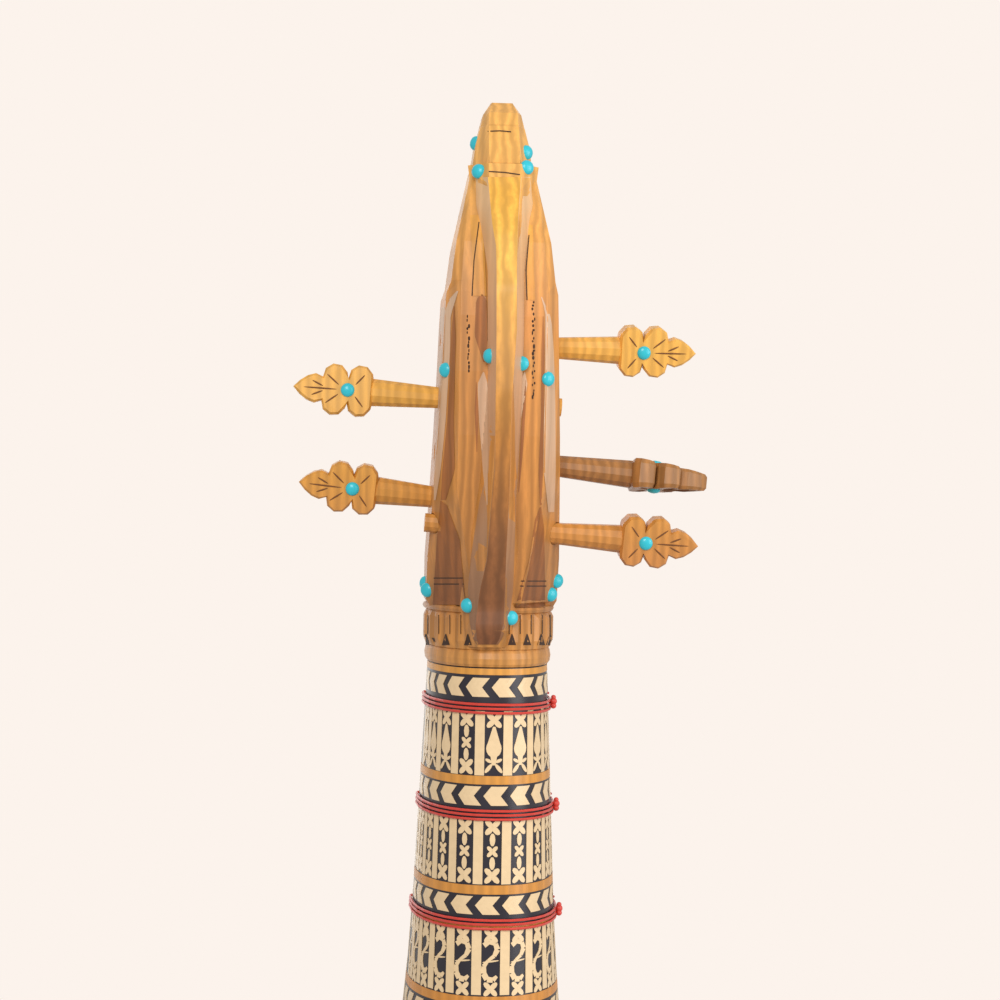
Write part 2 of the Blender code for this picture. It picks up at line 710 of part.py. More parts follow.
def heel_rows():
    """Ring, petal collar, half-round moulding and drum, up from the joint."""
    p = COLLAR_PROUD
    bead = MOULDING_TOP - COLLAR_TOP
    return (
        (GAP, p * 0.2, 0),
        (RING_TOP * 0.20, p * 0.50, 0),
        (RING_TOP * 0.50, p * 0.62, 0),
        (RING_TOP * 0.82, p * 0.45, 0),
        (RING_TOP, p * 0.2, 0),
        (RING_TOP + 0.0002, p * 0.55, PETAL_DEPTH * 0.4),
        (RING_TOP + 0.0030, p, PETAL_DEPTH),
        (COLLAR_TOP - 0.0020, p, PETAL_DEPTH),
        (COLLAR_TOP, p * 0.55, PETAL_DEPTH * 0.3),
        (COLLAR_TOP + bead * 0.15, p * 0.85, 0),
        (COLLAR_TOP + bead * 0.5, p * 1.05, 0),
        (COLLAR_TOP + bead * 0.85, p * 0.85, 0),
        (MOULDING_TOP, p * 0.45, 0),
        (MOULDING_TOP + 0.0040, -p * 1.8, 0),
    )


def shaft_radius(x):
    """The peg's taper inside the head: x is towards the grip, from the middle of the head."""
    return PEG_MID_R + PEG_TAPER * x


def peg_height(peg):
    return HEEL_LAP + peg.height


def side_of_head(peg):
    return read_between(head_sections(), peg_height(peg)).half


def peg_direction(peg):
    tilt = math.radians(peg.tilt)
    return Vector((peg.side * math.cos(tilt), 0, peg.side * math.sin(tilt)))


def peg_hole(bm, peg):
    reach = side_of_head(peg) + 0.006
    stations = [(x, shaft_radius(x - peg.reach) + PEG_CLEARANCE) for x in (-reach, reach)]
    add_rod(bm, (0, peg.y, peg_height(peg)), peg_direction(peg), stations, PEG_SIDES)


def make_head():
    """The carved head: its origin is the middle of the neck joint."""
    rows = [heel_ring(*row) for row in heel_rows()]
    head = place("head", loft("head", rows), wood(), (0, 0, JOINT_Z))
    box = loft("pegbox_shape", [section_ring(s) for s in head_sections()])
    boolean(head, helper("pegbox_shape", box, head), "UNION")
    crest = loft("crest_shape", [crest_ring(c) for c in crest_rows()])
    boolean(head, helper("crest_shape", crest, head), "UNION")
    bm = bmesh.new()
    add_box(bm, (-TENON_HALF, RIM_Y + GAP, -TENON_LENGTH), (TENON_HALF, TENON_BACK_Y, 0.005))
    boolean(head, helper("tenon_shape", mesh_of("tenon_shape", bm), head), "UNION")

    top_peg = max(peg.height for peg in MAIN_PEGS)
    bm = bmesh.new()
    low = (-SLOT_HALF, HEAD_FRONT_Y - 0.02, HEEL_LAP + SLOT_START)
    add_box(bm, low, (SLOT_HALF, SLOT_FLOOR_Y, HEEL_LAP + top_peg + SLOT_END))
    boolean(head, helper("string_slot", mesh_of("string_slot", bm), head), "DIFFERENCE")
    for peg in MAIN_PEGS:
        bm = bmesh.new()
        peg_hole(bm, peg)
        boolean(head, helper(peg.name + "_hole", mesh_of(peg.name + "_hole", bm), head), "DIFFERENCE")
    return head


def flower_half():
    """Half the outline of a peg's flower: two round lobes, then a pointed leaf."""
    points = [(0.0, PEG_GRIP_R)]
    for middle in (NEAR_LOBE, FAR_LOBE):
        for degrees in (160, 118, 76, 34):
            angle = math.radians(degrees)
            points.append((middle + LOBE_R * math.cos(angle), LOBE_OUT + LOBE_R * math.sin(angle)))
        points.append((middle + LOBE_R, LOBE_OUT - 0.0006))
    rest = FLOWER_LENGTH - FAR_LOBE - LOBE_R
    start = FAR_LOBE + LOBE_R
    points += [(start + rest * share, PEG_GRIP_R * high) for share, high in ((0.25, 1.04), (0.52, 0.86), (0.78, 0.48))]
    return points


def flower_outline():
    half = flower_half()
    return half + [(FLOWER_LENGTH, 0.0)] + [(x, -z) for x, z in reversed(half)]


def inward(outline, distance):
    """The outline drawn in by a distance, point by point."""
    moved = []
    count = len(outline)
    for i, (x, z) in enumerate(outline):
        before = Vector(outline[i - 1])
        after = Vector(outline[(i + 1) % count])
        along = (after - before).normalized()
        moved.append((x + along.y * distance, z - along.x * distance))
    return moved


def flower_rows(start):
    outline = flower_outline()
    inner = inward(outline, 0.0008)
    rows = []
    for points, share in ((inner, -1.0), (outline, -0.68), (outline, 0.68), (inner, 1.0)):
        ring = []
        for (x, z), (full_x, _) in zip(points, outline):
            along = min(1.0, max(0.0, full_x / FLOWER_LENGTH))
            thick = FLOWER_HALF_T + (FLOWER_TIP_HALF_T - FLOWER_HALF_T) * along
            ring.append(Vector((start + x, share * thick, z)))
        rows.append(ring)
    return rows


def make_main_pegs(head):
    for peg in MAIN_PEGS:
        side = side_of_head(peg)
        start = side + PEG_SHANK + peg.reach
        tail = -side - peg.tail
        bm = bmesh.new()
        stations = [(tail, shaft_radius(tail - peg.reach)), (side + 0.001, shaft_radius(side + 0.001 - peg.reach))]
        stations += [(start, PEG_GRIP_R), (start + NEAR_LOBE, PEG_GRIP_R * 0.7)]
        add_rod(bm, (0, 0, 0), (1, 0, 0), stations, PEG_SIDES)
        obj = place(peg.name, mesh_of(peg.name, bm), wood(), (0, peg.y, peg_height(peg)), head)
        turned = math.pi if peg.side < 0 else 0.0
        obj.rotation_euler = (math.radians(peg.turn), -peg.side * math.radians(peg.tilt), turned)
        grip = loft(peg.name + "_flower", flower_rows(start))
        boolean(obj, helper(peg.name + "_flower", grip, obj), "UNION")


def make_sympathetic_pegs(hull):
    profile = ((0.0010, 1.0, 1.0), (0.0040, 1.1, 1.4), (0.0080, 1.15, 2.4), (0.0120, 1.05, 2.4))
    profile += ((0.0155, 0.75, 1.5), (SYMPATHETIC_GRIP, 0.4, 0.6))
    for number, z in enumerate(sympathetic_places(), start=1):
        outside = side_at_pegs(z)
        inner = half_width(z) - HULL_WALL - SLEEVE_STEP - SYMPATHETIC_INSIDE
        rings = [(inner, 1.0, 1.0)] + [(outside + x, thick, wide) for x, thick, wide in profile]
        rows = []
        for x, thick, wide in rings:
            ring = []
            for i in range(8):
                angle = 2 * math.pi * (i + 0.5) / 8
                y = SYMPATHETIC_R * thick * math.cos(angle)
                ring.append(Vector((x, y, SYMPATHETIC_R * wide * math.sin(angle))))
            rows.append(ring)
        name = f"sympathetic_peg_{number:02d}"
        obj = place(name, loft(name, rows), wood(), (0, peg_row_y(), z), hull)
        obj.rotation_euler = (0, 0, math.pi)


def tube(name, points, radius, finish, parent, location=(0, 0, 0)):
    curve = bpy.data.curves.new(name, "CURVE")
    curve.dimensions = "3D"
    curve.bevel_depth = radius
    curve.bevel_resolution = 1
    curve.use_fill_caps = True
    spline = curve.splines.new("POLY")
    spline.points.add(len(points) - 1)
    for target, point in zip(spline.points, points):
        target.co = (*point, 1.0)
    obj = bpy.data.objects.new(name, curve)
    bpy.context.scene.collection.objects.link(obj)
    curve.materials.append(finish)
    obj.parent = parent
    obj.location = location
    return obj


def least_gap(points, diameter):
    """The narrowest space between turns of a tube that are over half a turn apart."""
    line = np.array([tuple(p) for p in points])
    steps = np.linalg.norm(np.diff(line, axis=0), axis=1)
    along = np.concatenate([[0.0], np.cumsum(steps)])
    start, end = line[:-1], line[1:]
    run = end - start
    least = math.inf
    for i, point in enumerate(line):
        share = np.clip(((point - start) * run).sum(axis=1) / (run**2).sum(axis=1), 0, 1)
        nearest = start + run * share[:, None]
        away = np.abs(along[:-1] + steps * share - along[i])
        far = away > 6 * diameter
        if far.any():
            least = min(least, np.linalg.norm(nearest - point, axis=1)[far].min())
    return least - diameter


def fret_point(turn, middle_z):
    """A point on the tie: the back half follows the neck, the rest crosses the fingerboard."""
    z = middle_z + FRET_PITCH * (turn - FRET_TURNS / 2)
    stand = FRET_R + FRET_GAP
    share = turn - math.floor(turn + 1e-9)
    back = 16
    corner = 2
    step = round(share * FRET_POINTS)
    half = half_width(z) + stand
    front = FINGERBOARD_Y - stand
    if step <= back:
        return u_points(half, depth(z) + stand, z, back)[step]
    across = FRET_POINTS - back - 2 * corner
    if step <= back + corner:
        angle = math.pi / 2 * (step - back) / (corner + 0.0)
        middle = (half - stand, FINGERBOARD_Y)
        return Vector((middle[0] + stand * math.cos(angle), middle[1] - stand * math.sin(angle), z))
    if step >= FRET_POINTS - corner:
        angle = math.pi / 2 * (FRET_POINTS - step) / corner
        return Vector((stand - half - stand * math.cos(angle), FINGERBOARD_Y - stand * math.sin(angle), z))
    t = (step - back - corner) / across
    return Vector(((half - stand) * (1 - 2 * t), front, z))


def make_frets(hull):
    """Each fret is one nylon thread wound round the neck and the fingerboard."""
    finish = material("red nylon", (0.62, 0.05, 0.04), 0.4)
    for number, drop in enumerate(FRET_DROPS, start=1):
        middle = NUT_Z - drop
        count = FRET_TURNS * FRET_POINTS
        points = [fret_point(i / FRET_POINTS, middle) for i in range(count + 1)]
        print(f"fret {number} least gap {1000 * least_gap(points, 2 * FRET_R):.2f} mm")
        local = [p - Vector((0, 0, middle)) for p in points]
        tube(f"fret_{number}", local, FRET_R, finish, hull, (0, 0, middle))


def winding(peg, nut_point):
    """The turns on a peg, from where the string meets it: points in the world frame."""
    centre = Vector((0, peg.y, JOINT_Z + peg_height(peg)))
    axis = peg_direction(peg) * peg.side
    up = axis.cross(Vector((0, 1, 0)))
    if up.z < 0:
        up = -up
    along = peg.winding
    on_shaft = shaft_radius(peg.side * along - peg.reach)
    radius = on_shaft + GAP + STRING_R + 0.00015
    away = nut_point - centre
    flat = Vector((away.y, away.dot(up)))
    first = math.atan2(flat.y, flat.x) - math.acos(radius / flat.length)
    outward = 1 if along > 0 else -1
    points = []
    for i in range(WINDING_TURNS * WINDING_POINTS + 1):
        turn = i / WINDING_POINTS
        angle = first - 2 * math.pi * turn
        place_along = along + outward * WINDING_PITCH * turn
        y = radius * math.cos(angle)
        points.append(centre + axis * place_along + Vector((0, y, 0)) + up * (radius * math.sin(angle)))
    return points


def make_main_strings(hull):
    finish = material("clear nylon string", (0.85, 0.82, 0.74), 0.25)
    tail_y = RIM_Y - GAP - HOLDER_T * 0.72
    over_nut = NUT_TOP_Y + NOTCH_DEPTH - GAP - STRING_R
    over_bridge = BRIDGE_TOP_Y + NOTCH_DEPTH - GAP - STRING_R
    lead = NUT_WIDTH / 2 + STRING_R + GAP
    for peg in MAIN_PEGS:
        place_in_row = peg.string - (MAIN_COUNT - 1) / 2
        nut_x = NUT_SPACING * place_in_row
        bridge_x = BRIDGE_SPACING * place_in_row
        nut_point = Vector((nut_x, over_nut, NUT_Z + lead))
        points = [
            Vector((bridge_x * 0.8, tail_y, HOLDER_TOP_Z + GAP)),
            Vector((bridge_x * 0.8, tail_y - 0.0002, HOLDER_TOP_Z + GAP + 2 * STRING_R)),
            Vector((bridge_x, over_bridge, BRIDGE_Z - BRIDGE_TOP_T * 0.4)),
            Vector((bridge_x, over_bridge, BRIDGE_Z + BRIDGE_TOP_T * 0.4)),
            Vector((nut_x, over_nut, NUT_Z - lead)),
            nut_point,
        ]
        turns = winding(peg, nut_point)
        print(f"{peg.name} winding least gap {1000 * least_gap(turns, 2 * STRING_R):.2f} mm")
        tube(f"main_string_{peg.string + 1}", points + turns, STRING_R, finish, hull)


def make_sympathetic_strings(hull):
    finish = material("steel string", (0.70, 0.70, 0.72), 0.25, 1.0)
    tail_y = RIM_Y - GAP - HOLDER_T * 0.3
    level = BRIDGE_FOOT_Y - SYMPATHETIC_LEVEL
    r = SYMPATHETIC_STRING_R
    for number, z in enumerate(sympathetic_places(), start=1):
        bridge_x = sympathetic_bridge_x(number - 1)
        hole_x = string_hole_x(z)
        above = FINGERBOARD_Y - 3 * r
        points = [
            (bridge_x * 0.8, tail_y, HOLDER_TOP_Z + GAP),
            (bridge_x * 0.8, tail_y - r * 0.5, HOLDER_TOP_Z + GAP + 3 * r),
            (bridge_x, level, BRIDGE_Z - BRIDGE_FOOT_T / 2),
            (bridge_x, level, BRIDGE_Z + BRIDGE_FOOT_T / 2),
            (hole_x, above - r, z - 5 * r),
            (hole_x, above, z - 2 * r),
            (hole_x, FINGERBOARD_Y, z),
            (hole_x, peg_row_y() - SYMPATHETIC_R - GAP, z),
        ]
        tube(f"sympathetic_string_{number:02d}", points, r, finish, hull)


def main():
    clear_scene()
    hull = make_hull()
    make_sleeve()
    make_fingerboard()
    make_chest_plate()
    make_skin()
    make_nut()
    make_bridge()
    make_string_holder()
    head = make_head()
    make_main_pegs(head)
    make_sympathetic_pegs(hull)
    make_frets(hull)
    make_main_strings(hull)
    make_sympathetic_strings(hull)


main()
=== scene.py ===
"""The looks of the Afghan rubab: wood, turquoise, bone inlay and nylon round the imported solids."""

import math
import random

import bmesh
import bpy
import numpy as np
from mathutils import Euler, Matrix, Vector
from mathutils.bvhtree import BVHTree


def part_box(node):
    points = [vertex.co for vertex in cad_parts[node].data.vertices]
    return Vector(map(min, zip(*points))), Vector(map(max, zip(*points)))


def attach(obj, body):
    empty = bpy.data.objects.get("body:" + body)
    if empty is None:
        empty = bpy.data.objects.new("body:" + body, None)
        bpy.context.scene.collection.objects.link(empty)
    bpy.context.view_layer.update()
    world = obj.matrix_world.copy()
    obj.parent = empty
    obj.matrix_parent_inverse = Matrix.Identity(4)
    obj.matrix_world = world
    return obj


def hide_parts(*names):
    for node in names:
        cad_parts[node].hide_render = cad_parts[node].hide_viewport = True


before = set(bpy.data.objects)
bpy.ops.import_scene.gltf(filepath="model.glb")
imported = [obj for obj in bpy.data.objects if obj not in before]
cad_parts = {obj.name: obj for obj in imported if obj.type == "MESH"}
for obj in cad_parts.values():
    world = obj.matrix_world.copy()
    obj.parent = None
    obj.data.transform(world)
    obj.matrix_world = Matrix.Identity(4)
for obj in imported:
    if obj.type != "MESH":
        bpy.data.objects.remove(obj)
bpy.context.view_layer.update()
bpy.ops.object.select_all(action="DESELECT")

# Camera
# The photograph is a close view of the back of the head, from a little to the left-hand side.
# The neck leans slightly, so the camera is rolled.

VIEW_DEGREES = 23.5
AZIMUTH_DEGREES = 175.5
ROLL_DEGREES = 1.04
CAMERA_DISTANCE = 0.864
LEVEL_Z = 0.781
AIM = (-0.0023, -0.024, LEVEL_Z)
SENSOR_WIDTH = 36
HALF_VIEW = math.tan(math.radians(VIEW_DEGREES / 2))
camera_data = bpy.data.cameras.new("camera")
camera_data.sensor_width = SENSOR_WIDTH
camera_data.lens = SENSOR_WIDTH / 2 / HALF_VIEW
camera = bpy.data.objects.new("camera", camera_data)
bpy.context.scene.collection.objects.link(camera)
bpy.context.scene.camera = camera
azimuth = math.radians(AZIMUTH_DEGREES)
back = Vector((math.sin(azimuth), -math.cos(azimuth), 0))
camera.location = Vector(AIM) + back * CAMERA_DISTANCE
level_look = (-back).to_track_quat("-Z", "Y").to_matrix()
look = level_look @ Matrix.Rotation(math.radians(ROLL_DEGREES), 3, "Z")
camera.rotation_mode = "QUATERNION"
camera.rotation_quaternion = look.to_quaternion()

# Light
# A plain cream ground fills the picture, and the light on the object is soft and even: a lamp over
# the camera's left, one to its right and a weak one on the far side.

LIT_POINT = Vector((0, 0, 0.7))
# Each lamp's name, place, width and watts.
LAMPS = (
    ("key light", (0.25, 1.1, 1.30), 0.5, 8),
    ("fill light", (-0.9, 0.5, 0.9), 0.8, 6),
    ("front light", (0.1, -1.3, 0.9), 1.0, 3.5),
)


def srgb(hex_text):
    """A hex colour as linear values."""
    parts = [int(hex_text[i : i + 2], 16) / 255 for i in (1, 3, 5)]
    return (*[((p + 0.055) / 1.055) ** 2.4 if p > 0.04045 else p / 12.92 for p in parts], 1.0)


def add_node(tree, kind, values=(), **settings):
    """Adds a node with its settings; a value that is another node's socket is linked."""
    node = tree.nodes.new(kind)
    for name, value in settings.items():
        setattr(node, name, value)
    for key, value in dict(values).items():
        if isinstance(value, bpy.types.NodeSocket):
            tree.links.new(value, node.inputs[key])
        else:
            node.inputs[key].default_value = value
    return node


world = bpy.data.worlds.new("cream ground")
bpy.context.scene.world = world
world.use_nodes = True
world.node_tree.nodes.clear()
path = add_node(world.node_tree, "ShaderNodeLightPath")
seen = add_node(world.node_tree, "ShaderNodeBackground", {"Color": srgb("#fcf3ec"), "Strength": 1.0})
light = add_node(world.node_tree, "ShaderNodeBackground", {"Color": srgb("#fffaf4"), "Strength": 0.58})
mixed = add_node(
    world.node_tree,
    "ShaderNodeMixShader",
    {0: path.outputs["Is Camera Ray"], 1: light.outputs[0], 2: seen.outputs[0]},
)
add_node(world.node_tree, "ShaderNodeOutputWorld", {"Surface": mixed.outputs[0]})
bpy.context.scene.view_settings.view_transform = "Standard"

for name, place, width, watts in LAMPS:
    lamp = bpy.data.lights.new(name, "AREA")
    lamp.size = width
    lamp.energy = watts
    lamp_object = bpy.data.objects.new(name, lamp)
    bpy.context.scene.collection.objects.link(lamp_object)
    lamp_object.location = place
    lamp_object.rotation_mode = "QUATERNION"
    lamp_object.rotation_quaternion = (LIT_POINT - Vector(place)).to_track_quat("-Z", "Y")

# Head
# One carved block of mulberry, golden at the finial and stained darker towards the neck, with
# turquoise beads set in its crest, chamfers and drum. Its tenon is glued into the neck.

JOINT_Z = 0.722
FINIAL_Z = 0.90
HEAD_MIDDLE_Y = -0.02
FACING_AWAY = 0.3
SHARP_DEGREES = 40
# Fibres about 1.1 mm wide, coarser than mulberry's own, so that they show in the picture.
FIBRES_PER_METRE = 900
FIBRE_RELIEF = 0.0004
BEAD_R = 0.0026
BEAD_RISE = 0.0013
HEAD_BEAD_RISE = BEAD_RISE * 1.2
BEAD_LIFT = 0.0005
CREST_BEAD_LIFT = 0.0019
BEAD_TURN = 0.8

# Places on the head are given as they are seen in the picture, in thousandths of its side.
PICTURE_MIDDLE = 500
FINIAL_BEADS = ((474.5, 143), (478.5, 171.3), (526.5, 152.5), (527, 167.4))
CREST_BEADS = ((489.4, 356), (521.6, 363.5))
CHAMFER_BEADS = ((445.6, 370), (548.2, 379))
DRUM_BEADS = ((467.6, 605.5), (511.4, 618), (425, 583), (427, 590), (557, 581), (551, 594.5))


def wood(name, ramp, low_z, high_z, grain=0.18, roughness=0.42, figure=90, along=0.09):
    """Oiled wood: the colour runs along the height, the grain along the length.

    A figure of 90 puts the growth bands about 3.5 mm apart.
    """
    made = bpy.data.materials.new(name)
    made.use_nodes = True
    tree = made.node_tree
    shader = tree.nodes["Principled BSDF"]
    coords = add_node(tree, "ShaderNodeTexCoord")
    split = add_node(tree, "ShaderNodeSeparateXYZ", {0: coords.outputs["Object"]})
    height = add_node(
        tree, "ShaderNodeMapRange", {"Value": split.outputs["Z"], "From Min": low_z, "From Max": high_z}
    )
    colours = add_node(tree, "ShaderNodeValToRGB", {0: height.outputs[0]})
    stops = colours.color_ramp.elements
    while len(stops) < len(ramp):
        stops.new(0.5)
    for stop, (position, colour) in zip(stops, ramp):
        stop.position = position
        stop.color = srgb(colour)
    stretch = add_node(
        tree, "ShaderNodeMapping", {"Vector": coords.outputs["Object"], "Scale": (1, 1, along)}
    )
    fibres = add_node(
        tree,
        "ShaderNodeTexNoise",
        {"Vector": stretch.outputs[0], "Scale": FIBRES_PER_METRE, "Detail": 4, "Roughness": 0.6},
    )
    bands = add_node(
        tree,
        "ShaderNodeTexWave",
        {"Vector": stretch.outputs[0], "Scale": figure, "Distortion": 5, "Detail": 3, "Detail Scale": 2},
    )
    both = add_node(
        tree,
        "ShaderNodeMath",
        {0: fibres.outputs[0], 1: bands.outputs["Fac"], 2: 0.35},
        operation="MULTIPLY_ADD",
    )
    darkest, lightest = 1 - grain * 1.4, 1 + grain * 0.5
    shade = add_node(
        tree,
        "ShaderNodeMapRange",
        {"Value": both.outputs[0], "From Min": 0.2, "From Max": 1.0, "To Min": darkest, "To Max": lightest},
    )
    shaded = add_node(
        tree,
        "ShaderNodeVectorMath",
        {0: colours.outputs[0], "Scale": shade.outputs[0]},
        operation="SCALE",
    )
    tree.links.new(shaded.outputs[0], shader.inputs["Base Color"])
    shader.inputs["Roughness"].default_value = roughness
    bump = add_node(
        tree,
        "ShaderNodeBump",
        {"Height": fibres.outputs[0], "Strength": 0.12, "Distance": FIBRE_RELIEF},
    )
    tree.links.new(bump.outputs[0], shader.inputs["Normal"])
    return made


def plain(name, colour, roughness=0.4, metallic=0.0, blotch=0.0, scale=300):
    """One colour with faint uneven patches, about 3 mm across at a scale of 300."""
    made = bpy.data.materials.new(name)
    made.use_nodes = True
    tree = made.node_tree
    shader = tree.nodes["Principled BSDF"]
    shader.inputs["Roughness"].default_value = roughness
    shader.inputs["Metallic"].default_value = metallic
    coords = add_node(tree, "ShaderNodeTexCoord")
    patches = add_node(
        tree, "ShaderNodeTexNoise", {"Vector": coords.outputs["Object"], "Scale": scale, "Detail": 3}
    )
    colours = add_node(tree, "ShaderNodeValToRGB", {0: patches.outputs[0]})
    base = srgb(colour)
    for stop, level in zip(colours.color_ramp.elements, (1 - blotch, 1 + blotch)):
        stop.color = (*[min(1.0, c * level) for c in base[:3]], 1.0)
    tree.links.new(colours.outputs[0], shader.inputs["Base Color"])
    return made


def finish_node(node, material):
    """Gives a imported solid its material."""
    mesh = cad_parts[node].data
    mesh.materials.clear()
    mesh.materials.append(material)


def show(name, mesh, material, body="rubab"):
    """Links a finished mesh at the origin and lets it ride on a body."""
    mesh.shade_smooth()
    mesh.set_sharp_from_angle(angle=math.radians(SHARP_DEGREES))
    mesh.materials.append(material)
    made = bpy.data.objects.new(name, mesh)
    bpy.context.scene.collection.objects.link(made)
    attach(made, body)
    return made


def mesh_from(name, shape):
    """Turns a bmesh into a mesh, with its normals recalculated, and frees it."""
    bmesh.ops.recalc_face_normals(shape, faces=shape.faces)
    mesh = bpy.data.meshes.new(name)
    shape.to_mesh(mesh)
    shape.free()
    return mesh


def turned_to(direction):
    """The turn that brings +Z to a direction."""
    return Vector((0, 0, 1)).rotation_difference(direction).to_matrix().to_4x4()


def add_bead(beads, centre, normal, radius, rise):
    """A round bead, flattened along its normal to a low dome on both sides."""
    bmesh.ops.create_uvsphere(
        beads,
        u_segments=24,
        v_segments=12,
        radius=radius,
        matrix=Matrix.Translation(centre) @ turned_to(normal) @ Matrix.Diagonal((1, 1, rise / radius, 1)),
    )


def sight(px, py):
    """The camera's line of sight through a place in the picture."""
    right = (px - PICTURE_MIDDLE) / PICTURE_MIDDLE * HALF_VIEW
    up = (PICTURE_MIDDLE - py) / PICTURE_MIDDLE * HALF_VIEW
    return (look @ Vector((right, up, -1))).normalized()


def on_head(px, py):
    """The point and normal of the head that the camera sees there, or the nearest to it."""
    line = sight(px, py)
    hit, normal, _, _ = head_tree.ray_cast(camera.location, line)
    if hit is None:
        beside = camera.location + line * ((camera.location.y - HEAD_MIDDLE_Y) / -line.y)
        hit, normal, _, _ = head_tree.find_nearest(beside)
    if normal.dot(line) > FACING_AWAY:
        normal = -normal
    return hit, normal


# Oiled mulberry, a soft gloss over brown stain that gathers low on the drum.
head_wood = wood(
    "carved mulberry, oiled and stained",
    ((0.0, "#cf9048"), (0.12, "#b87a3c"), (0.4, "#cf8c44"), (0.68, "#d8924a"), (1.0, "#eeb05a")),
    low_z=JOINT_Z,
    high_z=FINIAL_Z,
    grain=0.26,
)
# Polished turquoise, a waxy shine on slightly uneven blue.
turquoise = plain("turquoise bead, polished", "#2fbccd", roughness=0.28, blotch=0.12)
finish_node("head", head_wood)
head_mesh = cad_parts["head"].data
head_tree = BVHTree.FromPolygons(
    [v.co for v in head_mesh.vertices], [face.vertices for face in head_mesh.polygons]
)
beads = bmesh.new()
for px, py in FINIAL_BEADS + CREST_BEADS + CHAMFER_BEADS + DRUM_BEADS:
    point, normal = on_head(px, py)
    normal = (normal - BEAD_TURN * sight(px, py)).normalized()
    lift = CREST_BEAD_LIFT if (px, py) in CREST_BEADS else BEAD_LIFT
    add_bead(beads, point - sight(px, py) * lift, normal, BEAD_R, HEAD_BEAD_RISE)
show("head_beads", mesh_from("head_beads", beads), turquoise)

# Gouge marks
# Two rows of short cuts run down the back of the head beside the troughs, each made with the tip
# of a gouge. Here each is a flat dark drop on the surface: painted shade in place of the cut.

# Each row's place across the picture, its top and its foot.
GOUGE_ROWS = ((468, 315, 372), (533.5, 300, 400))
GOUGE_PITCH = 4
GOUGE_STRAY = 1.2
GOUGE_HALF_WIDTHS = (0.0002, 0.00045)
GOUGE_HALF_LENGTHS = (0.0004, 0.0009)
GOUGE_RISE = 0.00018
GOUGE_SEED = 4

# Painted shade for the cuts: almost black, with no shine.
cut_shade = plain("painted shade in cuts", "#3a2212", roughness=0.7, blotch=0.2)
chance = random.Random(GOUGE_SEED)
gouges = bmesh.new()
for px, first, last in GOUGE_ROWS:
    count = int((last - first) / GOUGE_PITCH)
    for i in range(count):
        shift = chance.uniform(-GOUGE_STRAY, GOUGE_STRAY)
        point, normal = on_head(px + shift, first + (last - first) * (i + 0.5) / count + shift)
        wide = chance.uniform(*GOUGE_HALF_WIDTHS)
        tall = chance.uniform(*GOUGE_HALF_LENGTHS)
        flat = Matrix.Diagonal((wide, tall, GOUGE_RISE, 1))
        spot = Matrix.Translation(point) @ turned_to(normal) @ flat
        bmesh.ops.create_icosphere(gouges, subdivisions=2, radius=1.0, matrix=spot)
show("gouge_marks", mesh_from("gouge_marks", gouges), cut_shade)

# Arches
# Two pointed arches are sunk in the drum and darker with painted shade. Here each is a thin skin
# that follows the drum's surface and has no depth.

# Each skin's left and right edges in the picture.
ARCHES = {
    "arch_left": (
        ((440.5, 501), (437, 540), (433, 605)),
        ((441.5, 501), (447, 505), (460, 540), (464, 585), (466, 605)),
    ),
    "arch_right": (
        ((540, 507), (535, 520), (529, 560), (520, 590), (515, 608)),
        ((541, 507), (544, 530), (545, 608)),
    ),
}
SKIN_LIFT = 0.00012


def patch(name, left_edge, right_edge, material, rows=24, columns=6):
    """A thin skin on the head's surface between two edges that are given in picture places."""
    left_edge = np.array(left_edge, float)
    right_edge = np.array(right_edge, float)
    top = max(left_edge[0, 1], right_edge[0, 1])
    low = min(left_edge[-1, 1], right_edge[-1, 1])
    skin = bmesh.new()
    grid = []
    for row in range(rows + 1):
        y = top + (low - top) * row / rows
        left = np.interp(y, left_edge[:, 1], left_edge[:, 0])
        right = np.interp(y, right_edge[:, 1], right_edge[:, 0])
        line = []
        for column in range(columns + 1):
            point, normal = on_head(left + (right - left) * column / columns, y)
            line.append(skin.verts.new(point + normal * SKIN_LIFT))
        grid.append(line)
    for upper, lower in zip(grid, grid[1:]):
        for c in range(columns):
            skin.faces.new((upper[c], upper[c + 1], lower[c + 1], lower[c]))
    show(name, mesh_from(name, skin), material)


# Painted shade in the sunk arches: mulberry darker and duller than the wood round it.
arch_shade_wood = wood(
    "painted shade in arches",
    ((0.0, "#8a5226"), (1.0, "#a8662e")),
    low_z=0.742,
    high_z=0.782,
    grain=0.25,
    roughness=0.55,
)
for name, (left_edge, right_edge) in ARCHES.items():
    patch(name, left_edge, right_edge, arch_shade_wood)
